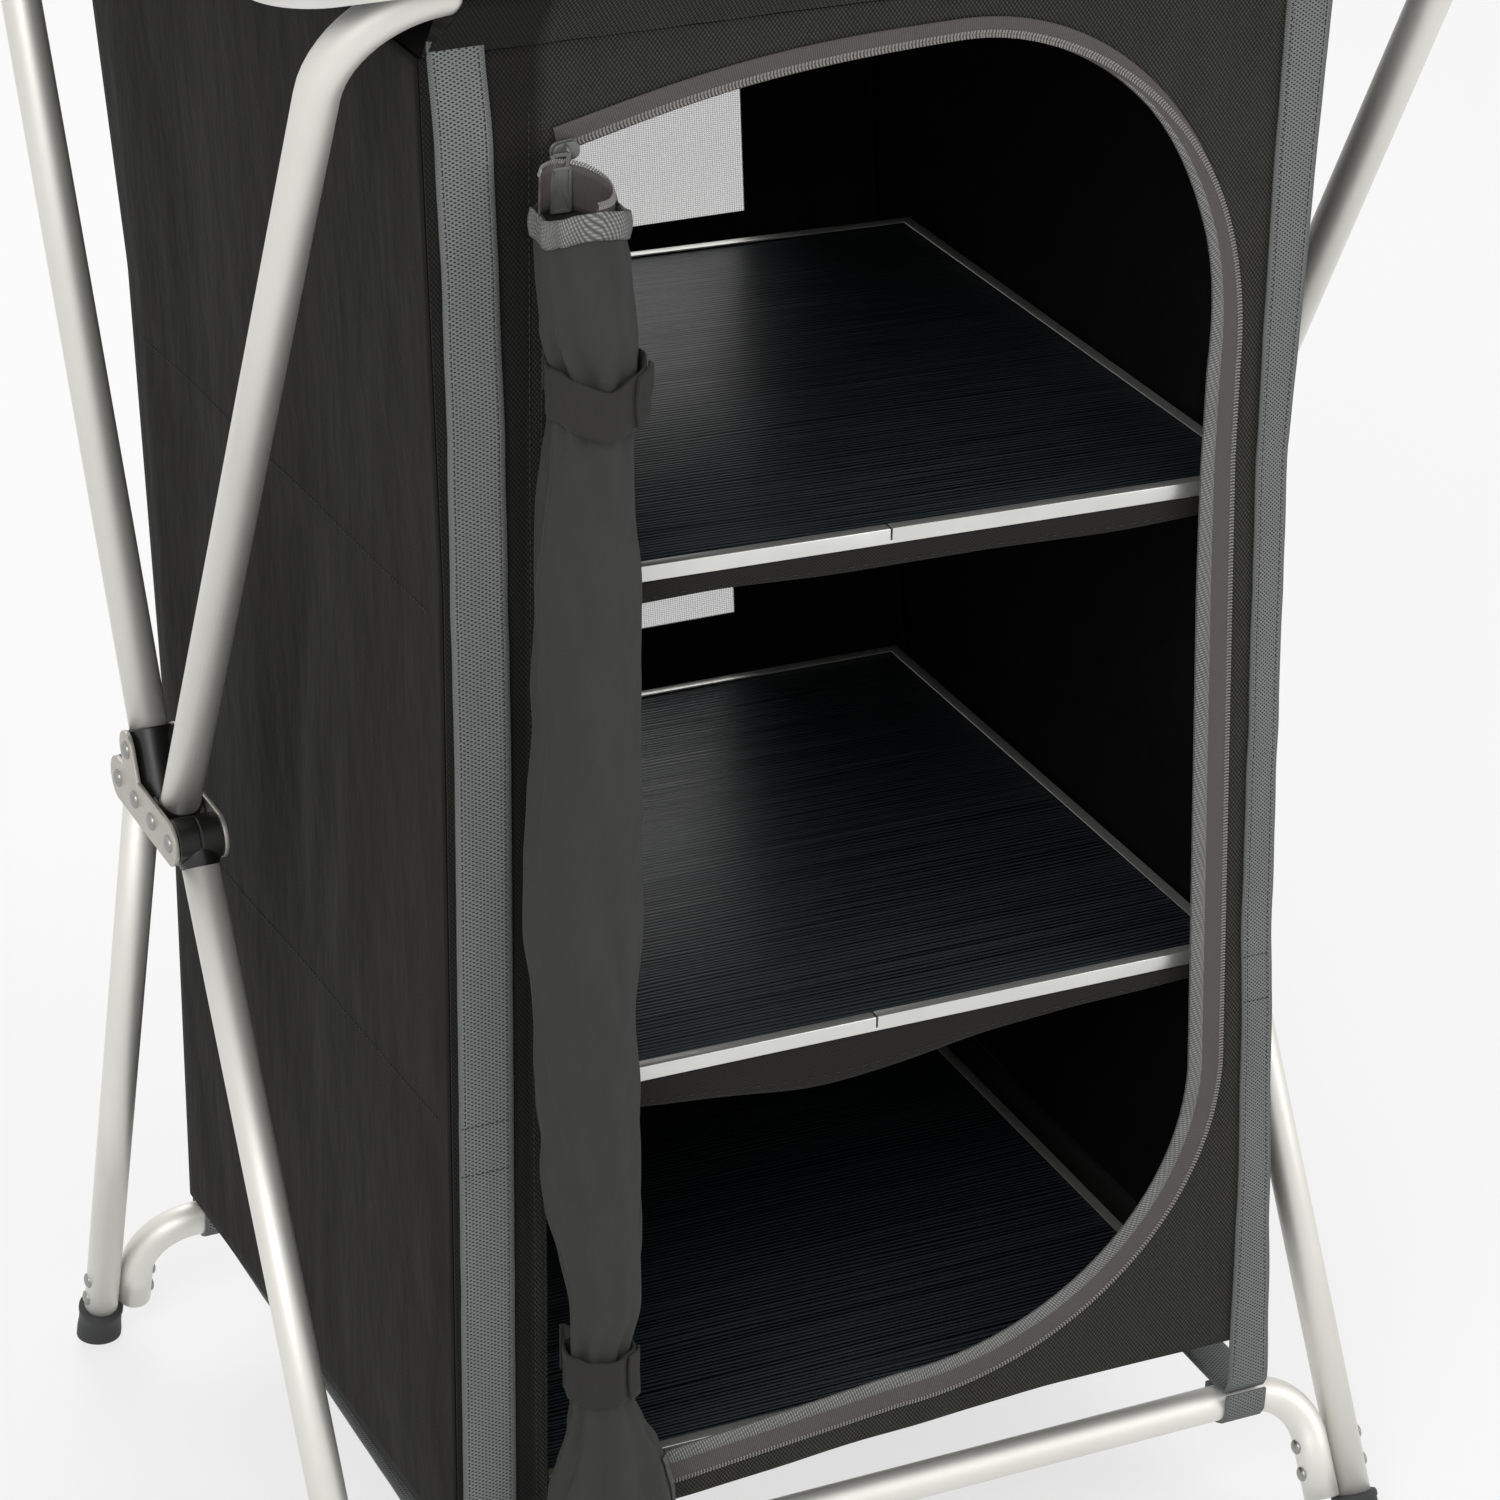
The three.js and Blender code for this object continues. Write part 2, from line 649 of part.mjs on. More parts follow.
// Nets: a bordered grid of square-edged strands that fills each window
function net(centre, low) {
  const half = window_half_width - gap;
  const bottom = low + gap;
  const top = low + window_height - gap;
  const back = box_half_depth - cloth / 2 - net_thickness / 2;
  const sheet = boxBetween([centre - half, back, bottom], [centre + half, back + net_thickness, top]);
  const inner_half = half - net_border;
  const cell_width = (2 * inner_half + net_strand) / net_columns;
  const cell_height = (top - bottom - 2 * net_border + net_strand) / net_rows;
  const cells = [];
  for (let i = 0; i < net_columns; i += 1) {
    for (let j = 0; j < net_rows; j += 1) {
      const x = centre - inner_half + i * cell_width;
      const z = bottom + net_border + j * cell_height;
      cells.push(boxBetween([x, back - cut_overrun, z],
        [x + cell_width - net_strand, back + net_thickness + cut_overrun, z + cell_height - net_strand]));
    }
  }
  return leanedRear(cut(sheet, joined(cells)));
}

for (const [name, low] of Object.entries(window_lows)) {
  addMesh(`${name}_window_net`, 'net', net(window_centres[name], low));
}

// Side panels stand between the front and rear panels
function sidePanel() {
  const inset = cloth + gap;
  const outline = polygon([
    [frontY(side_bottom) + inset, box_front_bottom], [rearY(side_bottom) - inset, side_bottom],
    [rearY(rear_lean_start) - inset, rear_lean_start], [rearY(box_top) - inset, box_top],
    [frontY(box_top) + inset, box_top], [frontY(front_lean_start) + inset, front_lean_start],
  ]);
  return plateYZ(outline, box_half_width - cloth, cloth);
}

function leanedLeft(geometry) {
  return leaned(geometry, front_lean_start, (z) => [leftX(z) + box_half_width, 0]);
}

function leanedRight(geometry) {
  const shift = (z) => [rightX(z) - box_half_width, 0];
  return leaned(geometry, front_lean_start, shift, shift);
}

addMesh('right_panel', 'fabric', leanedRight(sidePanel()));
addMesh('left_panel', 'fabric', leanedLeft(mirroredX(sidePanel())));

const side_room = cloth + gap;
const inside_left = leftX(0) + side_room;
const inside_right = rightX(front_lean_start) - side_room;
const inside_depth = box_half_depth - cloth - gap;
const floor_bottom = shelf_heights[0] - shelf_thickness;
const bottom_panel_top = floor_bottom - gap;
addMesh('bottom_panel', 'fabric', boxBetween(
  [inside_left, -inside_depth, bottom_panel_top - cloth],
  [rightX(bottom_panel_top) - side_room, inside_depth, bottom_panel_top]));

const top_panel_top = box_top - cloth;
const top_panel_low = top_panel_top - cloth;
addMesh('top_panel', 'fabric', boxBetween(
  [leftX(top_panel_low) + side_room, frontY(top_panel_low) + side_room, top_panel_low],
  [inside_right, rearY(top_panel_low) - side_room, top_panel_top]));

// Sleeves: fabric folded over each upper bar and sewn together just above the box
function sleeve(bar_y, seam_y) {
  const seam_z = box_top + gap;
  const heading = Math.atan2(seam_z - upper_bar_height, seam_y - bar_y);
  const loop = (radius, end_y, end_z, half) => {
    const reach = Math.hypot(end_y - bar_y, end_z - upper_bar_height);
    const tangent = Math.acos((radius - half) / reach);
    const points = [];
    const steps = 14;
    for (let i = 0; i <= steps; i += 1) {
      const turn = heading + tangent + ((2 * Math.PI - 2 * tangent) * i) / steps;
      points.push([bar_y + radius * Math.cos(turn), upper_bar_height + radius * Math.sin(turn)]);
    }
    const across = [-Math.sin(heading) * half, Math.cos(heading) * half];
    points.push([end_y - across[0], end_z - across[1]], [end_y + across[0], end_z + across[1]]);
    return points;
  };
  const inner_share = 0.62;
  const seam_rise = cloth * Math.abs(Math.cos(heading));
  const outer = polygon(loop(sleeve_outer, seam_y, seam_z + seam_rise, cloth));
  const inner_y = bar_y + (seam_y - bar_y) * inner_share;
  const inner_z = upper_bar_height + (seam_z - upper_bar_height) * inner_share;
  const inner = loop(sleeve_inner, inner_y, inner_z, gap);
  outer.holes.push(new THREE.Path(inner.map(([y, z]) => new THREE.Vector2(y, z))));
  return plateYZ(outer, -bar_length_half, 2 * bar_length_half);
}

addMesh('front_sleeve', 'fabric', sleeve(upper_front_bar_y, frontY(box_top) + cloth / 2));
addMesh('rear_sleeve', 'fabric', sleeve(upper_rear_bar_y, rearY(box_top) - cloth / 2));

// Webbing down the front corners, under the sides, and in loops round the lower bars
const loop_inner = lower_tube_radius + gap;
const loop_outer = loop_inner + webbing_thickness;
const loop_lift = Math.PI / 6;
const webbing_left_edge = box_half_width - webbing_width;
const webbing_front = front_face - gap - webbing_thickness;
const corner_strip = leanedFront(boxBetween(
  [webbing_left_edge, webbing_front, strap_low], [box_half_width, front_face - gap, box_top - cloth]));
const under_strap = boxBetween(
  [webbing_left_edge, webbing_front, strap_low], [box_half_width, lower_bar_y, strap_high]);
const corner_webbing = fused(corner_strip, under_strap);
addMesh('corner_webbing_right', 'webbing', leanedRight(corner_webbing));
addMesh('corner_webbing_left', 'webbing', leanedLeft(mirroredX(corner_webbing)));

function webbingLoop(bar_y) {
  const shape = new THREE.Shape();
  shape.absarc(bar_y, lower_bar_height, loop_outer, Math.PI - loop_lift, 2 * Math.PI + loop_lift, false);
  shape.absarc(bar_y, lower_bar_height, loop_inner, 2 * Math.PI + loop_lift, Math.PI - loop_lift, true);
  return plateYZ(shape, webbing_left_edge, webbing_width);
}

for (const [side, bar_y] of Object.entries({ front: -lower_bar_y, rear: lower_bar_y })) {
  const loop = webbingLoop(bar_y);
  addMesh(`${side}_webbing_loop_left`, 'webbing', mirroredX(loop));
  addMesh(`${side}_webbing_loop_right`, 'webbing', loop.translate(right_out_at_bottom, 0, 0));
}

// Shelves: two laminate halves in metal trim on a fabric sling whose front hangs as a valance
function halfBoard(top) {
  const board_low = top - (shelf_thickness + board_thickness) / 2;
  const inset = trim_depth - board_into_trim;
  return boxBetween([half_gap, shelf_front + inset, board_low],
    [shelf_half_width - inset, shelf_rear - inset, board_low + board_thickness]);
}

// The trim is one frame: the split between the halves leaves a thin web along its underside
function shelfTrim(top) {
  const half = shelf_half_width;
  const low = top - shelf_thickness;
  const whole = boxBetween([-half, shelf_front, low], [half, shelf_rear, top]);
  const window = boxBetween([-half + trim_depth, shelf_front + trim_depth, low - cut_overrun],
    [half - trim_depth, shelf_rear - trim_depth, top + cut_overrun]);
  const split = boxBetween([-half_gap, shelf_front - cut_overrun, low + trim_web],
    [half_gap, shelf_rear + cut_overrun, top + cut_overrun]);
  const board_low = top - (shelf_thickness + board_thickness) / 2;
  const inset = trim_depth - board_into_trim - gap;
  const groove = boxBetween([-half + inset, shelf_front + inset, board_low - gap],
    [half - inset, shelf_rear - inset, board_low + board_thickness + gap]);
  return cut(whole, window, split, groove);
}

function sling(name, top) {
  const high = top - shelf_thickness - gap;
  const sheet = boxBetween(
    [inside_left, shelf_front, high - sling_thickness], [inside_right, shelf_rear, high]);
  const drop = valance_drop[name];
  const wave = valance_wave[name];
  const hem = [];
  const steps = 20;
  const hem_turn = 2.4 * Math.PI;
  for (let i = 0; i <= steps; i += 1) {
    const share = i / steps;
    const x = inside_right + (inside_left - inside_right) * share;
    const sag = 0.55 + 0.45 * share;
    hem.push([x, high - drop * sag - wave * Math.sin(hem_turn * share)]);
  }
  const outline = polygon([[inside_left, high], [inside_right, high], ...hem]);
  const valance = plateXZ(outline, shelf_front, sling_thickness);
  return fused(sheet, valance);
}

shelf_names.forEach((name, k) => {
  const top = shelf_heights[k];
  const right_half = halfBoard(top);
  addMesh(`${name}_right_board`, 'laminate', right_half);
  addMesh(`${name}_left_board`, 'laminate', mirroredX(right_half));
  addMesh(`${name}_trim`, 'trim', shelfTrim(top));
  if (name in valance_drop) addMesh(`${name}_sling`, 'fabric', sling(name, top));
});

// Rolled door: a hanging roll of cloth, drawn in where its two ties hold it
const roll_shares = [
  [0, 1.0], [0.03, 1.02], [0.07, 0.97], [0.1, 0.78], [0.135, 0.72], [0.17, 0.9], [0.23, 1.0], [0.31, 0.94],
  [0.42, 1.05], [0.52, 0.98], [0.62, 1.06], [0.72, 0.97], [0.79, 0.9], [0.83, 0.72], [0.87, 0.68],
  [0.9, 0.86], [0.945, 1.16], [1, 1.28],
];

function rollScale(z) {
  const share = (roll_top - z) / (roll_top - roll_bottom);
  const k = Math.max(roll_shares.findIndex(([at]) => at >= share), 1);
  const [[from, low], [to, high]] = [roll_shares[k - 1], roll_shares[k]];
  const part = Math.min(Math.max((share - from) / (to - from), 0), 1);
  return low + (high - low) * part;
}

function rollCentreY(z) {
  return frontY(z) - gap - tape_thickness - roll_stand_off - roll_half_depth;
}

// Points round the roll at a height, with three soft folds that drift as they go down
function rollRing(z, grow, folds = 0.1) {
  const scale = rollScale(z);
  const drift = (roll_top - z) / (3 * tie_height);
  return Array.from({ length: roll_sides }, (_, i) => {
    const turn = (2 * Math.PI * i) / roll_sides;
    const fold = 1 + folds * Math.sin(3 * turn + 0.5 * drift) * (1 - 0.5 * Math.abs(Math.sin(turn)));
    const half_width = roll_half_width * scale * fold + grow;
    const half_depth = roll_half_depth * Math.min(scale, 1) * fold * 0.95 + grow;
    const y = rollCentreY(z) + half_depth * Math.sin(turn);
    return new THREE.Vector3(roll_x + half_width * Math.cos(turn), y, z);
  });
}

// A closed body through rings of equal count, lowest ring first
function lofted(rings) {
  const sides = rings[0].length;
  const positions = rings.flat().flatMap((point) => [point.x, point.y, point.z]);
  const index = [];
  for (let k = 0; k + 1 < rings.length; k += 1) {
    for (let i = 0; i < sides; i += 1) {
      const a = k * sides + i;
      const b = k * sides + ((i + 1) % sides);
      index.push(a, b, b + sides, a, b + sides, a + sides);
    }
  }
  for (const [ring, flip] of [[0, true], [rings.length - 1, false]]) {
    const sum = rings[ring].reduce((total, point) => total.add(point), new THREE.Vector3());
    const centre = sum.divideScalar(sides);
    const hub = positions.length / 3;
    positions.push(centre.x, centre.y, centre.z);
    for (let i = 0; i < sides; i += 1) {
      const a = ring * sides + i;
      const b = ring * sides + ((i + 1) % sides);
      index.push(...(flip ? [b, a, hub] : [a, b, hub]));
    }
  }
  const geometry = new THREE.BufferGeometry();
  geometry.setAttribute('position', new THREE.Float32BufferAttribute(positions, 3));
  geometry.setIndex(index);
  return geometry;
}

const roll_span = roll_top - roll_bottom;
const roll_heights = roll_shares.map(([share]) => roll_top - share * roll_span).reverse();
const roll = lofted(roll_heights.map((z) => rollRing(z, 0)));

// The roll is straight between its rings, so a tie follows it through the same heights
function rollAt(z, grow) {
  const above = roll_heights.findIndex((height) => height >= z);
  const high = Math.min(Math.max(above, 1), roll_heights.length - 1);
  const part = (z - roll_heights[high - 1]) / (roll_heights[high] - roll_heights[high - 1]);
  const upper_ring = rollRing(roll_heights[high], grow);
  return rollRing(roll_heights[high - 1], grow).map((point, i) => point.lerp(upper_ring[i], part));
}

const flap_high = roll_top - tie_height / 2;
const flap_low = opening_low + tape_width + tie_thickness;
const flap_clear = tie_height / 2 + 2 * tie_thickness;
const flap_ends = [
  [flap_low, lower_tie_height - flap_clear],
  [lower_tie_height + flap_clear, upper_tie_height - flap_clear],
  [upper_tie_height + flap_clear, flap_high],
];
const flap_x = roll_x - roll_half_width / 2;
const flaps = flap_ends.map(([low, high]) => leanedFront(boxBetween(
  [flap_x - roll_flap_width, rollCentreY(0), low], [flap_x, front_face - gap, high])));
addMesh('rolled_door', 'lining', fused(roll, ...flaps));

// Ties: a cloth band round the roll with a tongue sewn to the front panel
function tie(height) {
  const low = height - tie_height / 2;
  const high = height + tie_height / 2;
  const ringsBetween = (from, to, grow) => {
    const inside = roll_heights.filter((z) => z > from && z < to);
    return lofted([from, ...inside, to].map((z) => rollAt(z, grow)));
  };
  const outer = ringsBetween(low, high, tie_gap + tie_thickness);
  const inner = ringsBetween(low - cut_overrun, high + cut_overrun, tie_gap);
  const tongue_x = roll_x - roll_half_width * rollScale(height);
  const tongue = boxBetween(
    [tongue_x - tie_tongue_width, rollCentreY(height) - tie_thickness, low],
    [tongue_x - tie_gap, frontY(low) - gap, high]);
  const slope = (frontY(low) - frontY(high)) / tie_height;
  const behind = boxBetween(
    [tongue_x - tie_tongue_width - cut_overrun, -box_depth, low - cut_overrun],
    [tongue_x + cut_overrun, frontY(low) - gap - tie_thickness, high + cut_overrun]);
  const place = tongue.attributes.position;
  for (let i = 0; i < place.count; i += 1) place.setY(i, place.getY(i) - slope * (place.getZ(i) - low));
  const slab = behind.attributes.position;
  for (let i = 0; i < slab.count; i += 1) slab.setY(i, slab.getY(i) - slope * (slab.getZ(i) - low));
  const tab = cut(tongue, behind);
  const arm = boxBetween(
    [tongue_x - tie_gap - tie_thickness, rollCentreY(height), low],
    [tongue_x - tie_gap, frontY(low) - gap - slope * tie_height - tie_thickness / 2, high]);
  return cut(fused(outer, tab, arm), inner);
}

addMesh('upper_door_tie', 'fabric', tie(upper_tie_height));
addMesh('lower_door_tie', 'fabric', tie(lower_tie_height));

// Zip slider at the start of the zip, and its pull hanging from a pin
const zip_run = opening_right - opening_taper - top_corner_width - opening_left;
const zip_rise = Math.atan2(opening_high - opening_left_high, zip_run);
const zip_along = slider_x - opening_left;
const slider_z = opening_left_high + zip_along * Math.tan(zip_rise) - tape_width / 2;
const slider_back = frontY(slider_z + slider_width) - 2 * gap - tape_thickness;
const slider_front = slider_back - slider_depth;
const slider = boxBetween(
  [slider_x - slider_length / 2, slider_front, slider_z - slider_width / 2],
  [slider_x + slider_length / 2, slider_back, slider_z + slider_width / 2]);
const lug_half = pull_eye / 2 + pull_thickness;
const pin_y = slider_front - pull_pin_radius - 2 * gap - pull_thickness / 2;
const lug_reach = 2 * pull_pin_radius;
const lugs = [-1, 1].map((side) => boxBetween(
  [slider_x + side * lug_half - pull_pin_radius, pin_y - lug_reach, slider_z - lug_reach],
  [slider_x + side * lug_half + pull_pin_radius, slider_front + gap, slider_z + lug_reach]));
const pin = rodX(pull_pin_radius, slider_x - lug_half, slider_x + lug_half, pin_y, slider_z, 10);
addMesh('zip_slider', 'zip_metal', fused(slider, ...lugs, pin));

const eye_half = lug_half - pull_pin_radius - gap;
const eye = rodX(pull_pin_radius + gap + pull_thickness / 2, slider_x - eye_half, slider_x + eye_half,
  pin_y, slider_z, 12);
const neck = boxBetween([slider_x - eye_half, pin_y - pull_thickness / 2, slider_z - 3 * pull_eye],
  [slider_x + eye_half, pin_y + pull_thickness / 2, slider_z]);
const tab_top = slider_z - Math.SQRT2 * lug_reach - 2 * gap;
const tab = boxBetween([slider_x - pull_width / 2, pin_y - pull_thickness / 2, slider_z - pull_length],
  [slider_x + pull_width / 2, pin_y + pull_thickness / 2, tab_top]);
const pin_hole = rodX(pull_pin_radius + gap, slider_x - pull_width, slider_x + pull_width,
  pin_y, slider_z, 12);
addMesh('zip_pull', 'zip_metal', cut(fused(eye, neck, tab), pin_hole));

// Worktop: a laminate board on the ledge of a metal rim that is flush with it, resting on the upper bars
const worktop_low = upper_bar_height + sleeve_outer + gap;
const worktop_half = side_plane + worktop_side_overhang;

function roundedRectangle(inset, kind) {
  const x = worktop_half - inset;
  const [low, high] = [worktop_front + inset, worktop_rear - inset];
  const r = worktop_corner - inset;
  const outline = new kind();
  outline.moveTo(-x + r, low);
  outline.lineTo(x - r, low);
  outline.absarc(x - r, low + r, r, -Math.PI / 2, 0, false);
  outline.lineTo(x, high - r);
  outline.absarc(x - r, high - r, r, 0, Math.PI / 2, false);
  outline.lineTo(-x + r, high);
  outline.absarc(-x + r, high - r, r, Math.PI / 2, Math.PI, false);
  outline.lineTo(-x, low + r);
  outline.absarc(-x + r, low + r, r, Math.PI, 1.5 * Math.PI, false);
  return outline;
}

const rim_ring = roundedRectangle(0, THREE.Shape);
rim_ring.holes.push(roundedRectangle(worktop_rim_width + rim_ledge, THREE.Path));
const rim_solid = plateXY(rim_ring, worktop_low - rim_drop, rim_drop + worktop_board);
const rim_recess = plateXY(roundedRectangle(worktop_rim_width, THREE.Shape), worktop_low - gap,
  worktop_board + cut_overrun);
addMesh('worktop_rim', 'trim', cut(rim_solid, rim_recess));
const board_outline = roundedRectangle(worktop_rim_width + gap, THREE.Shape);
addMesh('worktop_board', 'laminate', plateXY(board_outline, worktop_low, worktop_board));

export default cupboard;
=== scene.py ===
"""Folding camping cupboard: tubes, cloth box, zip, rolled door, shelves and worktop.

Places are given in millimetres from the floor under the middle of the fabric box, with the
door side towards -Y. at() turns them into the row frame's metres.
"""
import math

import bmesh
import bpy
from mathutils import Matrix, Vector, noise


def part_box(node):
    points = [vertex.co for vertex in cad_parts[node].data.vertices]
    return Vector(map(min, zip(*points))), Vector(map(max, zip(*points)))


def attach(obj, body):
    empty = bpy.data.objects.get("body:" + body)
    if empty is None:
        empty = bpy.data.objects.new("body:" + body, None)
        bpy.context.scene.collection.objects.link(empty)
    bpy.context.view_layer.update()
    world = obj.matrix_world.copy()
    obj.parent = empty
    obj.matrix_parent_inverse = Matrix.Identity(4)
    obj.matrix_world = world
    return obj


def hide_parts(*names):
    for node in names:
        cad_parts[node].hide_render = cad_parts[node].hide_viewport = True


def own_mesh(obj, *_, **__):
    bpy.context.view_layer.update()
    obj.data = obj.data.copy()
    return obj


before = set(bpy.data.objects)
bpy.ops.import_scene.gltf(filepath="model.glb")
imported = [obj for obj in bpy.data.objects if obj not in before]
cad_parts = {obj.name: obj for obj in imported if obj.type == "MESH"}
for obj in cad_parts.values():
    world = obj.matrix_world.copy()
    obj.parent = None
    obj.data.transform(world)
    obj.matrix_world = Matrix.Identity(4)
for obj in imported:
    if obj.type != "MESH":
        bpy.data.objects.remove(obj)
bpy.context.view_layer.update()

MM = 0.001
BOX_TO_ROW_Y = -30.0
# WELD, in mm, joins the ends of a sheet that closes; NEAR and TOUCHING count as no distance at all
WELD = 0.002
NEAR = 1e-6
TOUCHING = 1e-7

# Fabric box
BOX_HALF_WIDTH = 215.0
BOX_HALF_DEPTH = 195.0
BOX_FRONT_BOTTOM = 105.0
# The front panel's hem across the box, as (x, z)
HEM_HEIGHTS = ((-200, 105.0), (-100, 107.0), (0, 113.5), (100, 118.0), (200, 117.0))
BOX_REAR_BOTTOM = 85.2
BOX_TOP = 841.0
FRONT_LEAN_START = 600.0
FRONT_LEAN = 14.0
REAR_LEAN_START = 300.0
REAR_LEAN = 62.0
LEFT_LEAN = 12.5
RIGHT_OUT_AT_BOTTOM = 2.0
RIGHT_IN_AT_TOP = 20.0
CLOTH = 1.5
GAP = 0.3

# Frames
SIDE_PLANE = 265.0
PIVOT_HEIGHT = 399.0
UPPER_BAR_HEIGHT = 870.0
UPPER_FRONT_BAR_Y = -215.0
UPPER_REAR_BAR_Y = 275.0
LOWER_BAR_HEIGHT = 74.0
LOWER_BAR_Y = 186.0
UPPER_TUBE_RADIUS = 9.5
LOWER_TUBE_RADIUS = 9.0
TUBE_WALL = 1.2
UPPER_BEND = 50.0
LOWER_BEND = 30.0
LEG_END_HEIGHT = 9.0
FOOT_GRIP = 14.0
TAIL_TO_FOOT = 1.5
TAIL_RIVETS = (2.0, 16.0)
TUBE_START = 13.5
PIVOT_Y = {"rear_lower": 80.0, "rear_upper": 55.0, "front_upper": 30.0, "front_lower": 5.0}
PLATE_INNER = UPPER_TUBE_RADIUS + 2 * GAP + 1.2
PLATE_THICKNESS = 2.0
BARREL_RADIUS = 11.2

# Door opening, zip and roll
OPENING_LEFT = -170.0
OPENING_RIGHT = 183.0
OPENING_TAPER = 17.0
OPENING_LOW = 111.0
OPENING_LOW_RISE = 17.0
OPENING_HIGH = 829.0
OPENING_LEFT_HIGH = 805.0
TOP_CORNER = (150.0, 184.0)
LOW_CORNER = (170.0, 155.0)
TAPE_WIDTH = 20.0
TAPE_THICKNESS = 1.4
PANEL_HEM = 16.0
OPENING_BULGE = 6.8
# Width of the zip tape at shares of its length, from the low left end round to the slider
TAPE_WIDTHS_AT_SHARES = ((0.0, 20.0), (0.55, 19.0), (0.64, 17.0), (0.70, 12.5), (0.76, 9.5), (0.84, 9.5),
                         (0.91, 11.0), (1.0, 12.0))
# Painted shade: the front cloth's colour darkens towards the seam left of the door, over a short way, for the
# shade of the rolled door
STILE_X = -182.0
STILE_SHADE_FADE = 10.0
STILE_PAINTED_SHADE_SHARE = 0.3
ROLL_TOP = 772.0
ROLL_BOTTOM = 99.0
ROLL_HALF_DEPTH = 15.0
ROLL_STAND_OFF = 4.5
UPPER_TIE = 697.0
LOWER_TIE = 209.0

# Shelves
SHELF_TOPS = {"floor_shelf": 132.0, "middle_shelf": 337.0, "upper_shelf": 584.0}
SHELF_FRONT = -187.0
SHELF_REAR = 177.0
SHELF_THICKNESS = 7.5
SLING_THICKNESS = 1.2
INSIDE_LEFT = -213.2
INSIDE_RIGHT = 193.2
WINDOW_HALF_WIDTH = 107.0
WINDOWS = {"upper": (12.0, 583.0, 743.0), "middle": (-2.0, 366.0, 526.0)}
WEBBING_WIDTH = 24.0
WEBBING_THICKNESS = 1.6


def at(x, y, z):
    return Vector((x, y + BOX_TO_ROW_Y, z)) * MM


def lean_share(z):
    return max(0.0, z - FRONT_LEAN_START) / (BOX_TOP - FRONT_LEAN_START)


def front_y(z):
    return -BOX_HALF_DEPTH - FRONT_LEAN * lean_share(z)


def rear_y(z):
    return BOX_HALF_DEPTH + REAR_LEAN * max(0.0, z - REAR_LEAN_START) / (BOX_TOP - REAR_LEAN_START)


def left_x(z):
    return -BOX_HALF_WIDTH - LEFT_LEAN * lean_share(z)


def right_x(z):
    share = (min(z, FRONT_LEAN_START) - BOX_REAR_BOTTOM) / (FRONT_LEAN_START - BOX_REAR_BOTTOM)
    return BOX_HALF_WIDTH + lerp(RIGHT_OUT_AT_BOTTOM, -RIGHT_IN_AT_TOP, share)


SIDES = {"left": (left_x, -1), "right": (right_x, 1)}


def lerp(a, b, share):
    return a + (b - a) * share


def soft_step(low, high, value):
    """Rises from 0 at low to 1 at high, which may lie below low."""
    share = min(max((value - low) / (high - low), 0.0), 1.0)
    return share * share * (3 - 2 * share)


def table_at(table, place):
    """The values of a table at a place, eased between its rows."""
    place = min(max(place, table[0][0]), table[-1][0])
    for (low, *first), (high, *second) in zip(table, table[1:]):
        if place <= high:
            share = 0.5 * soft_step(low, high, place) + 0.5 * (place - low) / (high - low)
            return [lerp(a, b, share) for a, b in zip(first, second)]
    return list(table[-1][1:])


def ripple(x, y, z):
    return noise.noise(Vector((x, y, z)))


# Shader tools


class Socket:
    """A shader value that takes part in Python sums, each of which adds a Math node."""

    def __init__(self, finish, link):
        self.finish = finish
        self.link = link

    def _math(self, operation, first, second=None):
        return self.finish.node("ShaderNodeMath", {"operation": operation}, {0: first, 1: second})

    def __add__(self, other):
        return self._math("ADD", self, other)

    __radd__ = __add__

    def __sub__(self, other):
        return self._math("SUBTRACT", self, other)

    def __rsub__(self, other):
        return self._math("SUBTRACT", other, self)

    def __mul__(self, other):
        return self._math("MULTIPLY", self, other)

    __rmul__ = __mul__

    def __truediv__(self, other):
        return self._math("DIVIDE", self, other)

    def __gt__(self, other):
        return self._math("GREATER_THAN", self, other)

    def least(self, other):
        return self._math("MINIMUM", self, other)

    def most(self, other):
        return self._math("MAXIMUM", self, other)

    def clipped(self):
        return self.most(0.0).least(1.0)

    def sine(self):
        return self._math("SINE", self)

    def size(self):
        return self._math("ABSOLUTE", self)


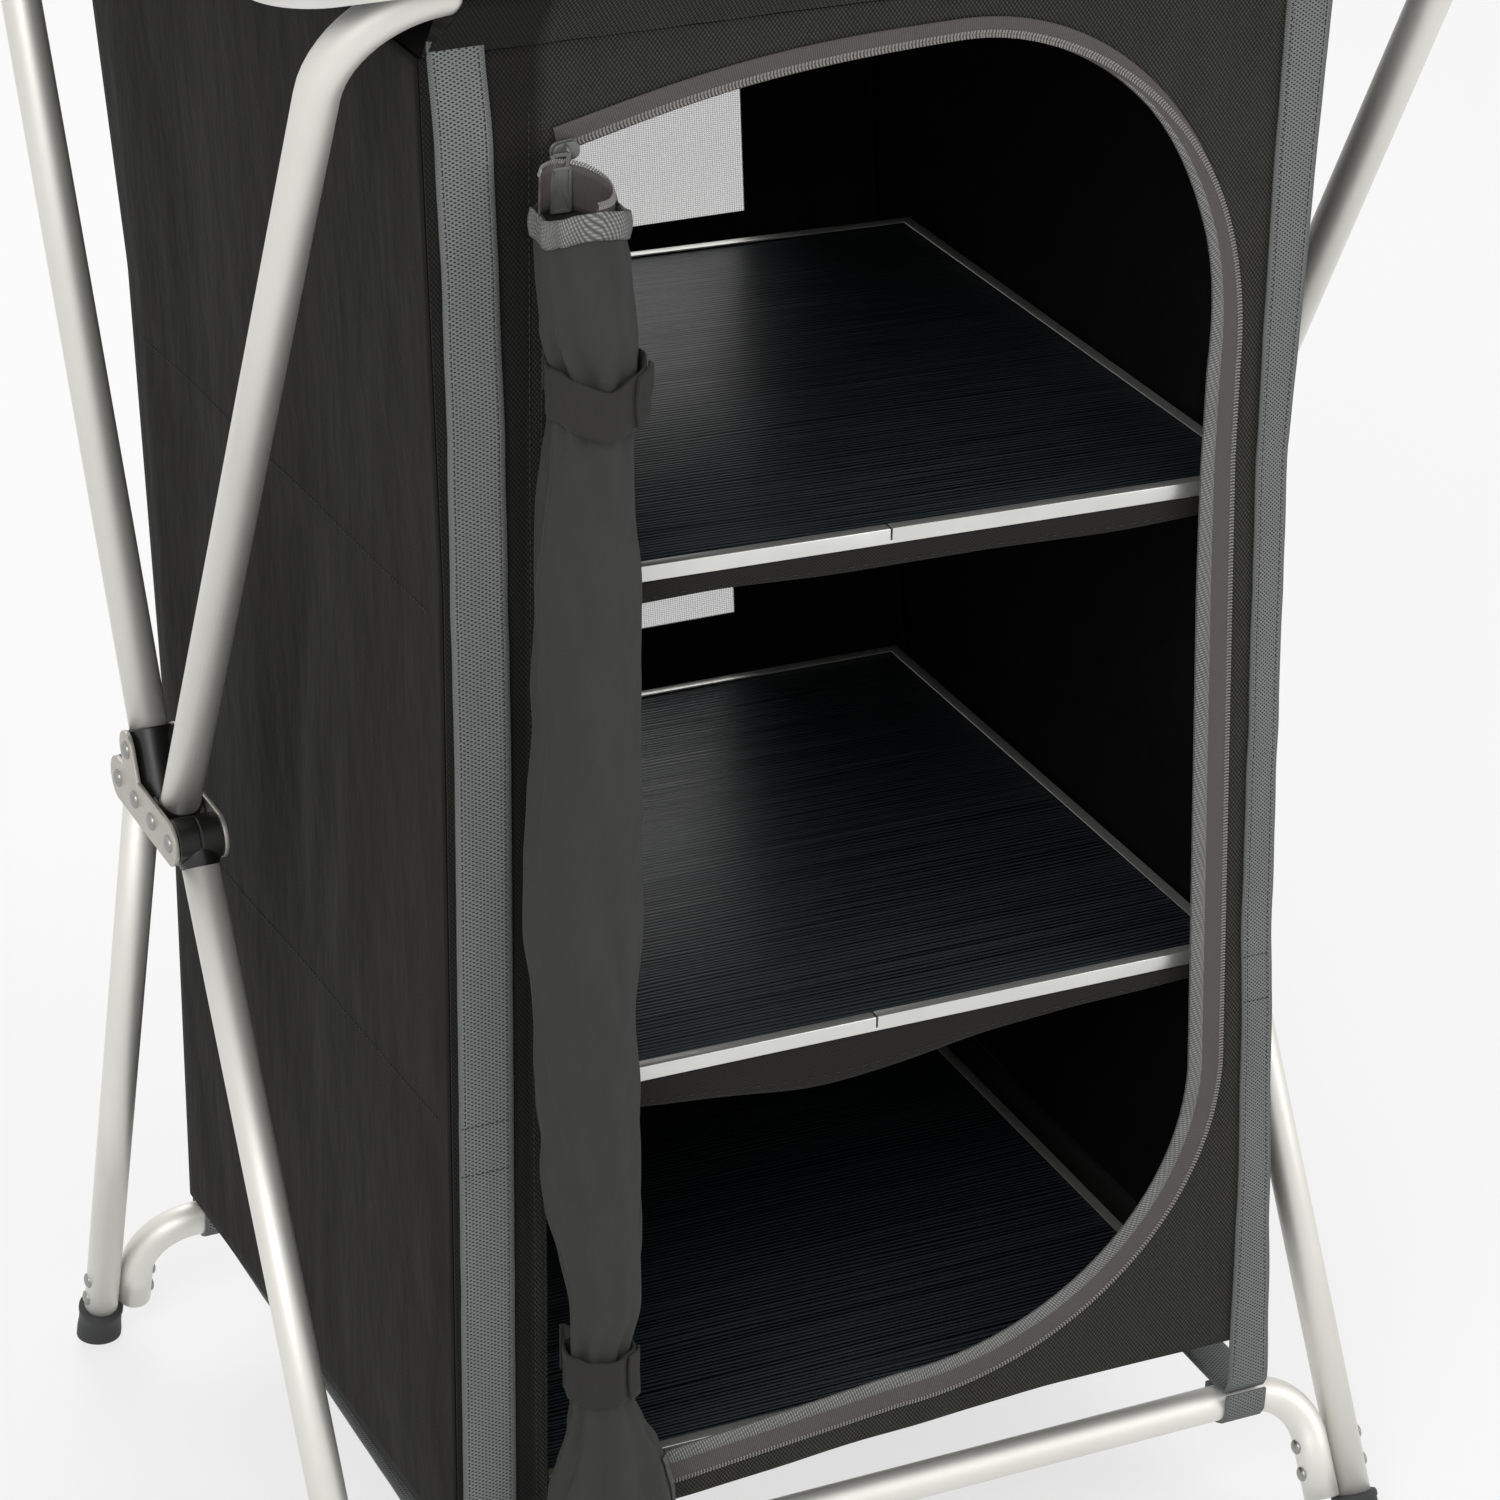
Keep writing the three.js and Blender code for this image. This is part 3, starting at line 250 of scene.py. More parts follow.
class Finish:
    """One material: a Principled shader whose constants are set on its own sockets."""

    def __init__(self, name, **constants):
        self.material = bpy.data.materials.new(name)
        self.material.use_nodes = True
        self.tree = self.material.node_tree
        self.shader = self.tree.nodes["Principled BSDF"]
        for socket, value in constants.items():
            self.shader.inputs[socket.replace("_", " ")].default_value = value

    def node(self, kind, settings=None, inputs=None, output=0):
        made = self.tree.nodes.new(kind)
        for setting, value in (settings or {}).items():
            setattr(made, setting, value)
        for socket, value in (inputs or {}).items():
            if isinstance(value, Socket):
                self.tree.links.new(value.link, made.inputs[socket])
            elif value is not None:
                made.inputs[socket].default_value = value
        return Socket(self, made.outputs[output])

    def place(self, space="Object"):
        return self.node("ShaderNodeTexCoord", output=space)

    def axes(self, space="Object"):
        """The three coordinates, in millimetres."""
        split = self.tree.nodes.new("ShaderNodeSeparateXYZ")
        self.tree.links.new(self.place(space).link, split.inputs[0])
        return [Socket(self, out) * (1 / MM) for out in split.outputs]

    def clouds(self, per_metre, detail, rough=0.5):
        """Noise from 0 to 1; per_metre gives its frequency, for all axes or for each."""
        scale = per_metre if isinstance(per_metre, tuple) else (per_metre,) * 3
        spread = self.node("ShaderNodeMapping", inputs={0: self.place(), "Scale": scale})
        return self.node("ShaderNodeTexNoise", inputs={"Vector": spread, "Scale": 1.0, "Detail": detail,
                                                       "Roughness": rough})

    def mixed(self, share, first, second):
        """Two colours mixed by a share; the node's inputs 6 and 7 and its output 2 are its colours."""
        inputs = {0: share, 6: (*first, 1.0), 7: (*second, 1.0)}
        return self.node("ShaderNodeMix", {"data_type": "RGBA"}, inputs, output=2)

    def set(self, **sockets):
        for socket, value in sockets.items():
            self.tree.links.new(value.link, self.shader.inputs[socket.replace("_", " ")])
        return self

    def raised(self, height, depth_mm, strength):
        bump = self.node("ShaderNodeBump", inputs={"Height": height, "Distance": depth_mm * MM,
                                                   "Strength": strength})
        return self.set(Normal=bump)


def grained_finish(name, dark, light, rough, grain, haze, bump, grain_share=0.0, haze_share=0.0, **constants):
    """Metal, rubber or plastic: a fine grain that is raised by bump and a coarse haze between two colours."""
    made = Finish(name, **constants)
    fine = made.clouds(*grain)
    coarse = made.clouds(*haze)
    roughness = rough
    for share, pattern in ((grain_share, fine), (haze_share, coarse)):
        if share:
            roughness = roughness + share * pattern
    made.set(Base_Color=made.mixed(coarse, dark, light), Roughness=roughness)
    return made.raised(fine, *bump).material


def canvas_finish(name, dark, light, across, up, pitch=0.95, depth=0.12, dots=0.75, painted_stile_shade=False, crumple=0.5):
    """Dotted weave in the plane of two coordinates, across and up; a painted shade can darken its colour
    towards its left edge.
    """
    cloth = Finish(name, Specular_IOR_Level=0.08, Sheen_Weight=0.03, Sheen_Roughness=0.5)
    axes = cloth.axes()
    a = axes[across] * (math.pi / pitch)
    b = axes[up] * (math.pi / (pitch * 1.35))
    knots = 0.5 + 0.5 * (a.sine() * b.sine())
    mottle = cloth.clouds((45, 45, 30), 5.0, 0.6)
    fleck = cloth.clouds(1100, 2.0)
    shade = dots * knots * knots * (0.55 + 0.9 * fleck) + (1 - dots) * (0.7 * mottle + 0.3 * fleck)
    # painted shade: the colour darkens left of the door seam, where the roll shades the cloth
    if painted_stile_shade:
        shade = shade * ((axes[0] - STILE_X) / STILE_SHADE_FADE).most(STILE_PAINTED_SHADE_SHARE).least(1.0)
    cloth.set(Base_Color=cloth.mixed(shade, dark, light), Roughness=0.85 - 0.1 * knots)
    creases = cloth.clouds((42, 42, 16), 3.0) * (crumple / depth)
    return cloth.raised(knots + 0.3 * fleck + creases, depth, 0.8).material


def shade_finish():
    """The inside of the box: painted shade, its colours darkened because hardly any light reaches it."""
    cloth = Finish("inner_cloth_painted_shade", Specular_IOR_Level=0.02)
    mottle = cloth.clouds((60, 60, 40), 4.0, 0.6)
    fleck = cloth.clouds(900, 2.0)
    shade = 0.6 * mottle + 0.4 * fleck
    cloth.set(Base_Color=cloth.mixed(shade, (0.0028, 0.0030, 0.0028), (0.0098, 0.0102, 0.0096)),
              Roughness=0.85 + 0.1 * fleck)
    return cloth.raised(fleck, 0.1, 0.6).material


def twill_finish(name, dark, light, pitch, depth=0.12, gloss=0.15, lines=0.45, crumple=0.0):
    """Cloth with fine diagonal threads across X and Z."""
    cloth = Finish(name, Specular_IOR_Level=gloss, Sheen_Weight=0.05, Sheen_Roughness=0.5)
    across, _, up = cloth.axes()
    a = across * (2 * math.pi / pitch)
    b = up * (2 * math.pi / pitch)
    warp = (a + b).sine()
    weft = (a - b * 0.5).sine()
    threads = 0.5 + 0.3 * warp + 0.2 * weft * warp
    mottle = cloth.clouds((35, 35, 22), 5.0, 0.6)
    fleck = cloth.clouds(1400, 2.0)
    shade = lines * threads + (1 - lines) * (0.6 * mottle + 0.4 * fleck)
    cloth.set(Base_Color=cloth.mixed(shade, dark, light), Roughness=0.82 - 0.14 * threads)
    creases = cloth.clouds((42, 42, 16), 3.0) * (crumple / depth)
    return cloth.raised(threads + 0.4 * fleck + creases, depth, 0.8).material


def webbing_finish(name, dark, light, column=3.14, row=1.93):
    """Webbing with staggered slots between its threads and a thicker rope along each edge."""
    web = Finish(name, Specular_IOR_Level=0.2, Sheen_Weight=0.04, Sheen_Roughness=0.5)
    across, along, _ = web.axes("UV")
    slots = (across * (2 * math.pi / column)).sine() * (along * (2 * math.pi / row)).sine()
    rope = ((across - WEBBING_WIDTH / 2).size() - (WEBBING_WIDTH / 2 - 2.2)).clipped()
    twist = 0.5 + 0.5 * ((along / 1.1 + across / 1.5) * (2 * math.pi)).sine()
    weave = 1 - (slots * 2.6 - 0.7).clipped()
    fleck = web.clouds(1200, 3.0)
    wear = web.clouds((40, 40, 12), 4.0)
    body = weave * (0.45 + 0.4 * fleck + 0.3 * wear)
    shade = body * (1 - rope) + rope * (0.25 + 0.85 * twist)
    web.set(Base_Color=web.mixed(shade, dark, light), Roughness=0.88 - 0.1 * weave)
    return web.raised(weave + 0.6 * rope + 0.2 * fleck, 0.3, 0.9).material


def ribbed_finish(name, dark, light, pitch, depth=0.25, rough=0.7, slant=0.12, cross=0.0):
    """Ribs across a strip, counted along its UV map; cross breaks them into short stitches."""
    tape = Finish(name, Specular_IOR_Level=0.3)
    across, along, _ = tape.axes("UV")
    ribs = 0.5 + 0.5 * ((along / pitch + across * slant) * (2 * math.pi)).sine()
    stitch = 0.5 + 0.5 * ((across / (pitch * 1.3) - along * (slant / 2)) * (2 * math.pi)).sine()
    weave = ribs * (1 - cross) + cross * ribs * stitch * 1.6
    fleck = tape.clouds(900, 3.0)
    wear = tape.clouds(60, 3.0)
    shade = 0.6 * weave + 0.22 * fleck + 0.18 * wear
    tape.set(Base_Color=tape.mixed(shade, dark, light), Roughness=rough - 0.15 * ribs)
    return tape.raised(weave, depth, 0.9).material


def laminate_finish():
    board = Finish("ribbed_laminate", Specular_IOR_Level=0.4)
    wander = board.clouds((5, 45, 45), 2.0)
    ribs = 0.5 + 0.5 * (board.axes()[1] * (2 * math.pi / 2.8) + wander * 14.0).sine()
    lines = board.clouds((4, 400, 400), 2.0, 0.6)
    pores = board.clouds((30, 2200, 2200), 2.0)
    grain = ((0.40 * ribs + 0.60 * lines - 0.34) * 3.4).clipped()
    board.set(Base_Color=board.mixed(grain, (0.0008, 0.0011, 0.0014), (0.030, 0.040, 0.046)),
              Roughness=0.26 + 0.2 * lines)
    return board.raised(grain + 0.3 * pores, 0.2, 0.9).material


def net_finish():
    net = Finish("window_net", Roughness=0.8, Specular_IOR_Level=0.1)
    across, _, up = net.axes()
    strands = (across * (2 * math.pi / 1.3)).sine().most((up * (2 * math.pi / 1.05)).sine())
    slack = net.clouds(60, 3.0)
    net.set(Base_Color=net.mixed(slack, (0.72, 0.69, 0.66), (0.82, 0.80, 0.77)),
            Alpha=0.27 + 0.36 * (strands > 0.2))
    return net.material


TUBE = grained_finish("satin_tube", (0.74, 0.725, 0.675), (0.84, 0.83, 0.785), 0.42, ((900, 900, 60), 2.0),
                      (14, 4.0), (0.02, 0.4), grain_share=0.1, haze_share=0.08, Metallic=0.7)
PLATE = grained_finish("satin_plate", (0.40, 0.39, 0.34), (0.52, 0.50, 0.45), 0.36, (1500, 2.0),
                       (60, 3.0), (0.03, 0.5), grain_share=0.12, Metallic=0.7)
RIVET = grained_finish("steel_rivet", (0.22, 0.22, 0.21), (0.42, 0.42, 0.40), 0.25, (500, 3.0),
                       (500, 3.0), (0.03, 0.4), grain_share=0.2, Metallic=0.9)
MOULDING = grained_finish("black_moulding", (0.006, 0.006, 0.006), (0.013, 0.013, 0.012), 0.24, (1200, 2.0),
                          (70, 3.0), (0.02, 0.5), haze_share=0.14)
RUBBER = grained_finish("foot_rubber", (0.03, 0.032, 0.032), (0.06, 0.062, 0.06), 0.55, (900, 3.0),
                        ((90, 90, 140), 4.0), (0.06, 0.6), haze_share=0.25, Specular_IOR_Level=0.35)
FRONT_CLOTH = canvas_finish("front_cloth", (0.0050, 0.0049, 0.0041), (0.081, 0.080, 0.067), 0, 2, painted_stile_shade=True)
REAR_CLOTH = canvas_finish("rear_cloth", (0.0050, 0.0049, 0.0042), (0.070, 0.068, 0.058), 0, 2)
# Painted shade: the side cloth's colours are darker than the front cloth's and its dots weaker, for light
# that falls less on the sides
SHADED_SIDE_CLOTH = canvas_finish("side_cloth_painted_shade", (0.0030, 0.0029, 0.0024), (0.0225, 0.0212, 0.0184), 1, 2, dots=0.35,
                           crumple=2.5)
LEVEL_CLOTH = canvas_finish("level_cloth", (0.0026, 0.0025, 0.0021), (0.0220, 0.0205, 0.0178), 0, 1, dots=0.5)
INNER_SHADE_CLOTH = shade_finish()
VALANCE_CLOTH = twill_finish("valance_cloth", (0.0010, 0.0010, 0.0009), (0.026, 0.0245, 0.022), 1.6, 0.2,
                             lines=0.75)
LINING = twill_finish("door_lining", (0.0045, 0.0047, 0.0039), (0.063, 0.064, 0.055), 0.95, 0.1, 0.3,
                      lines=0.72, crumple=5.0)
TIE_CLOTH = twill_finish("tie_cloth", (0.010, 0.0098, 0.0086), (0.052, 0.051, 0.045), 1.1, 0.12, crumple=1.0)
WEBBING = webbing_finish("grey_webbing", (0.018, 0.020, 0.0205), (0.225, 0.240, 0.236))
TAPE = ribbed_finish("zip_tape_cloth", (0.052, 0.046, 0.043), (0.115, 0.104, 0.098), 1.0, 0.08)
RIDGE = ribbed_finish("zip_ridge_cloth", (0.02, 0.02, 0.018), (0.14, 0.138, 0.13), 1.3, 0.2, cross=0.3)
COIL_BED = ribbed_finish("zip_coil_bed", (0.005, 0.005, 0.005), (0.024, 0.023, 0.021), 1.2, 0.1)
COIL_PLASTIC = ribbed_finish("coil_plastic", (0.17, 0.165, 0.15), (0.36, 0.35, 0.33), 1.0, 0.03, 0.5)
BINDING = ribbed_finish("ribbed_binding", (0.014, 0.0145, 0.0135), (0.35, 0.355, 0.34), 1.35, 0.3, slant=0.28,
                        cross=0.55)
LAMINATE = laminate_finish()
TRIM = grained_finish("bright_edge", (0.60, 0.60, 0.57), (0.74, 0.74, 0.71), 0.26, ((40, 700, 2500), 3.0),
                      (30, 3.0), (0.02, 0.4), grain_share=0.16, Metallic=0.75)
NET = net_finish()
ZIP_METAL = grained_finish("zip_metal", (0.10, 0.104, 0.096), (0.19, 0.195, 0.182), 0.34, (2500, 2.0),
                           (160, 3.0), (0.03, 0.5), grain_share=0.15, Metallic=0.35)
THREAD = ribbed_finish("stitch_thread", (0.012, 0.0115, 0.012), (0.05, 0.047, 0.049), 0.8, 0.1)


# Mesh tools


def finished(name, bm, body, material, nodes=(), sharp=40.0, modifiers=(), recalculate=True,
             lining=None):
    """Turns a bmesh into a piece that rides on a body and may stand for CAD nodes."""
    if recalculate:
        bmesh.ops.recalc_face_normals(bm, faces=bm.faces)
    mesh = bpy.data.meshes.new(name)
    bm.to_mesh(mesh)
    bm.free()
    mesh.polygons.foreach_set("use_smooth", [True] * len(mesh.polygons))
    mesh.set_sharp_from_angle(angle=math.radians(sharp))
    piece = bpy.data.objects.new(name, mesh)
    bpy.context.scene.collection.objects.link(piece)
    for layer in (material, lining):
        if layer is not None:
            mesh.materials.append(layer)
    for kind, settings in modifiers:
        modifier = piece.modifiers.new(kind.lower(), kind)
        for setting, value in settings.items():
            setattr(modifier, setting, value)
    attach(piece, body)
    if nodes:
        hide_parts(*nodes)
    return piece


def thick(millimetres, offset=-1.0, lined=False):
    """A thickness for a sheet; lined gives the new side the piece's second material."""
    return ("SOLIDIFY", {"thickness": millimetres * MM, "offset": offset, "use_even_offset": True,
                         "material_offset": 1 if lined else 0})


def hard_edges(bm, degrees):
    return [edge for edge in bm.edges
            if len(edge.link_faces) == 2 and edge.calc_face_angle(0.0) > math.radians(degrees)]


def bevelled(bm, edges, offset, segments):
    bmesh.ops.bevel(bm, geom=edges, offset=offset * MM, offset_type="OFFSET", segments=segments, profile=0.5,
                    affect="EDGES", clamp_overlap=True, material=-1)


def eased_copy(name, node, body, material, ease, nodes=None, move=None, segments=2, lift=None,
               abutting=False):
    """A CAD node's shape, its hard edges eased; lift(x) raises it and abutting halves meet at X = 0."""
    bm = bmesh.new()
    bm.from_mesh(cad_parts[node].data)
    bmesh.ops.remove_doubles(bm, verts=bm.verts, dist=NEAR)
    bmesh.ops.dissolve_limit(bm, angle_limit=math.radians(1), verts=bm.verts, edges=bm.edges)
    for vert in bm.verts:
        vert.co.x = 0.0 if abutting and abs(vert.co.x) < 1.0 * MM else vert.co.x
        vert.co.z += lift(vert.co.x / MM) * MM if lift is not None else 0.0
    hard = [edge for edge in hard_edges(bm, 35)
            if not (abutting and max(abs(vert.co.x) for vert in edge.verts) < NEAR)]
    bevelled(bm, hard, ease, segments)
    if move is not None:
        bmesh.ops.translate(bm, vec=move, verts=bm.verts)
    return finished(name, bm, body, material, nodes if nodes is not None else (node,),
                    sharp=50, recalculate=False)


class Swept:
    """A ring carried along straights and bends, in metres."""

    def __init__(self, centre, radius, sides=32):
        self.bm = bmesh.new()
        bmesh.ops.create_circle(self.bm, cap_ends=False, segments=sides, radius=radius,
                                matrix=Matrix.Translation(centre))
        self.edges = list(self.bm.edges)

    def straight(self, step):
        out = bmesh.ops.extrude_edge_only(self.bm, edges=self.edges)["geom"]
        moved = [g for g in out if isinstance(g, bmesh.types.BMVert)]
        bmesh.ops.translate(self.bm, vec=step, verts=moved)
        fresh = set(moved)
        self.edges = [g for g in out if isinstance(g, bmesh.types.BMEdge) and set(g.verts) <= fresh]
        return self

    def bend(self, centre, axis, degrees, steps=14):
        ring = list({v for e in self.edges for v in e.verts})
        out = bmesh.ops.spin(self.bm, geom=ring + self.edges, cent=centre, axis=axis, dvec=(0, 0, 0),
                             angle=math.radians(degrees), steps=steps, use_merge=False,
                             use_normal_flip=False, use_duplicate=False)
        self.edges = [g for g in out["geom_last"] if isinstance(g, bmesh.types.BMEdge)]
        return self


def turned(profile, axis_turn, sides=40):
    """A closed body of revolution about Z, then turned: profile points are (radius, height) in mm."""
    bm = bmesh.new()
    points = [bm.verts.new((radius * MM, 0, height * MM)) for radius, height in profile]
    edges = [bm.edges.new(pair) for pair in zip(points, points[1:])]
    bmesh.ops.spin(bm, geom=points + edges, cent=(0, 0, 0), axis=(0, 0, 1), dvec=(0, 0, 0),
                   angle=2 * math.pi, steps=sides, use_merge=True, use_normal_flip=False,
                   use_duplicate=False)
    bmesh.ops.remove_doubles(bm, verts=bm.verts, dist=TOUCHING)
    bmesh.ops.transform(bm, matrix=axis_turn, verts=bm.verts)
    return bm


def merged(parts):
    """One bmesh that holds every part."""
    whole = bmesh.new()
    for part in parts:
        scratch = bpy.data.meshes.new("scratch")
        part.to_mesh(scratch)
        part.free()
        whole.from_mesh(scratch)
        bpy.data.meshes.remove(scratch)
    return whole


def grid(columns, rows, place):
    """A sheet of columns by rows cells; place(u, v) gives each corner from shares 0 to 1."""
    bm = bmesh.new()
    bmesh.ops.create_grid(bm, x_segments=columns, y_segments=rows, size=0.5)
    uv = bm.loops.layers.uv.new("cloth")
    spots = {v: (v.co.x + 0.5, v.co.y + 0.5) for v in bm.verts}
    for face in bm.faces:
        for loop in face.loops:
            loop[uv].uv = spots[loop.vert]
    for vert, (u, v) in spots.items():
        vert.co = place(u, v)
    return bm


def mapped(bm, spread):
    """Lays out a sheet's UV map: spread(u, v) turns its shares into mm."""
    uv = bm.loops.layers.uv.active
    for face in bm.faces:
        for loop in face.loops:
            across, along = spread(*loop[uv].uv)
            loop[uv].uv = (across * MM, along * MM)
    return bm


# Frames

DOME_SHARES = (0.0, 0.3, 0.55, 0.78, 0.93, 1.0)
# Radius and height of the heads on the lower bars and on the brackets
BAR_HEAD = (4.0, 1.9)
PIN_HEAD = (4.5, 2.2)
HEAD_SEAT = 0.4
RIVET_SINK = 0.3
FOOT_WALL = 2.6
PLUG_LENGTH = 20.0
LOBE_REACH = 24.0
LINER_WALL = 1.2
LINER_LOW = -8.0
LINER_OVER_LOBE = 9.0
UPPER_RISE = UPPER_BAR_HEIGHT - PIVOT_HEIGHT
LOWER_DROP = PIVOT_HEIGHT - LOWER_BAR_HEIGHT
LEANS = {
    "front_upper": math.atan2(PIVOT_Y["front_upper"] - UPPER_FRONT_BAR_Y, UPPER_RISE),
    "rear_upper": -math.atan2(UPPER_REAR_BAR_Y - PIVOT_Y["rear_upper"], UPPER_RISE),
    "front_lower": math.pi - math.atan2(PIVOT_Y["front_lower"] + LOWER_BAR_Y, LOWER_DROP),
    "rear_lower": math.pi + math.atan2(LOWER_BAR_Y - PIVOT_Y["rear_lower"], LOWER_DROP),
}


def leg_place(body):
    """Turns a frame drawn with its leg along +Z from its pivot into its place."""
    return Matrix.Translation(at(0, PIVOT_Y[body], PIVOT_HEIGHT)) @ Matrix.Rotation(LEANS[body], 4, "X")


def placed(bm, body):
    bmesh.ops.transform(bm, matrix=leg_place(body), verts=bm.verts)
    return bm


def upper_tube(body, node, start):
    reach = UPPER_RISE / math.cos(LEANS[body])
    side = SIDE_PLANE * MM
    inner = (SIDE_PLANE - UPPER_BEND) * MM
    corner = (reach - UPPER_BEND) * MM
    run = Swept((-side, 0, start * MM), UPPER_TUBE_RADIUS * MM)
    run.straight((0, 0, corner - start * MM)).bend((-inner, 0, corner), (0, 1, 0), 90)
    run.straight((2 * inner, 0, 0)).bend((inner, 0, corner), (0, 1, 0), 90)
    run.straight((0, 0, start * MM - corner))
    finished(f"{body}_tube", placed(run.bm, body), body, TUBE, (node,),
             modifiers=[thick(TUBE_WALL)])


def domed_rivet(radius, height, spot, outward):
    """A domed head at a spot, its dome towards +X or -X."""
    profile = [(radius * share, height * math.sqrt(max(0.0, 1 - share ** 2.4))) for share in DOME_SHARES]
    profile += [(radius, -RIVET_SINK), (0.0, -RIVET_SINK)]
    turn = Matrix.Rotation(math.radians(90 * outward), 4, "Y")
    return turned(profile, Matrix.Translation(spot) @ turn, 20)


def rubber_foot(body, hand, sign, leg_end, sole):
    """A ribbed foot over the end of a leg, cut level at the floor."""
    foot_top = leg_end - FOOT_GRIP
    outer = LOWER_TUBE_RADIUS + GAP + FOOT_WALL
    profile = [(LOWER_TUBE_RADIUS + 0.2, foot_top), (outer - 1.4, foot_top), (outer - 0.5, foot_top + 0.3),
               (outer, foot_top + 1.2), (outer, foot_top + 3.4), (outer - 0.6, foot_top + 4.0),
               (outer - 0.5, leg_end - 2), (outer, leg_end + 4), (outer, sole), (0, sole)]
    foot = turned(profile, leg_place(body) @ Matrix.Translation((sign * SIDE_PLANE * MM, 0, 0)), 36)
    bmesh.ops.holes_fill(foot, edges=[e for e in foot.edges if e.is_boundary])
    bmesh.ops.bisect_plane(foot, geom=foot.verts[:] + foot.edges[:] + foot.faces[:], dist=TOUCHING,
                           plane_co=(0, 0, 0), plane_no=(0, 0, -1), clear_outer=True)
    bmesh.ops.holes_fill(foot, edges=[e for e in foot.edges if e.is_boundary])
    finished(f"{body}_foot_{hand}", foot, body, RUBBER,
             (f"foot_{body.split('_')[0]}_{hand}",), sharp=50)


def bar_rivets(body, along_places, tail_x):
    """Heads on both faces of each pair of tubes that the lower bar's tails are riveted to."""
    heads = []
    for _, sign in SIDES.values():
        for along in along_places:
            outside = Vector((sign * (SIDE_PLANE + LOWER_TUBE_RADIUS - HEAD_SEAT) * MM, 0, along * MM))
            inside = Vector((sign * (tail_x - LOWER_TUBE_RADIUS + HEAD_SEAT) * MM, 0, along * MM))
            heads += [domed_rivet(*BAR_HEAD, outside, sign), domed_rivet(*BAR_HEAD, inside, -sign)]
    finished(f"{body}_bar_rivets", placed(merged(heads), body), body, RIVET, sharp=60)


def lower_frame(body):
    side_name = body.split("_")[0]
    lean = abs(math.cos(LEANS[body]))
    bar = LOWER_DROP / lean
    leg_end = (PIVOT_HEIGHT - LEG_END_HEIGHT) / lean
    tail_end = leg_end - FOOT_GRIP - TAIL_TO_FOOT
    tail_x = SIDE_PLANE - 2 * LOWER_TUBE_RADIUS - GAP
    inner = tail_x - LOWER_BEND
    corner = bar + LOWER_BEND
    for hand, (_, sign) in SIDES.items():
        leg = Swept((sign * SIDE_PLANE * MM, 0, TUBE_START * MM), LOWER_TUBE_RADIUS * MM)
        leg.straight((0, 0, (leg_end - TUBE_START) * MM))
        finished(f"{body}_leg_tube_{hand}", placed(leg.bm, body), body, TUBE,
                 (f"lower_{side_name}_leg_{hand}",), modifiers=[thick(TUBE_WALL)])
        sole = (PIVOT_HEIGHT + LOWER_TUBE_RADIUS + GAP + FOOT_WALL) / lean
        rubber_foot(body, hand, sign, leg_end, sole)
    run = Swept((-tail_x * MM, 0, tail_end * MM), LOWER_TUBE_RADIUS * MM)
    run.straight((0, 0, (corner - tail_end) * MM)).bend((-inner * MM, 0, corner * MM), (0, 1, 0), -90)
    run.straight((2 * inner * MM, 0, 0)).bend((inner * MM, 0, corner * MM), (0, 1, 0), -90)
    run.straight((0, 0, (tail_end - corner) * MM))
    finished(f"{body}_bar_tube", placed(run.bm, body), body, TUBE,
             (f"lower_{side_name}_crossbar",), modifiers=[thick(TUBE_WALL)])
    bar_rivets(body, [corner + along for along in TAIL_RIVETS], tail_x)


def knuckle(body, node, radius, hand, sign):
    """The moulding on a tube's end: a barrel between the plates and a collar that plugs the tube."""
    half = PLATE_INNER - GAP
    waist = BARREL_RADIUS - 0.5
    barrel = [(0, -half), (BARREL_RADIUS - 0.8, -half), (BARREL_RADIUS, -half + 0.8), (BARREL_RADIUS, -0.9),
              (waist, -0.35), (waist, 0.35), (BARREL_RADIUS, 0.9), (BARREL_RADIUS, half - 0.8),
              (BARREL_RADIUS - 0.8, half), (0, half)]
    lip = TUBE_START - GAP
    plug = radius - TUBE_WALL - 0.3
    plug_end = TUBE_START + PLUG_LENGTH
    collar = [(0, 2), (radius + 0.6, 2), (radius + 0.6, TUBE_START - 1.2), (radius, lip), (plug, lip),
              (plug, plug_end), (0, plug_end)]
    upright = Matrix.Translation((sign * SIDE_PLANE * MM, 0, 0))
    lying = upright @ Matrix.Rotation(math.pi / 2, 4, "Y")
    pieces = merged([turned(barrel, lying, 44), turned(collar, upright, 36)])
    finished(f"{body}_knuckle_moulding_{hand}", placed(pieces, body), body, MOULDING,
             (f"{node}_knuckle_{hand}",), sharp=35)


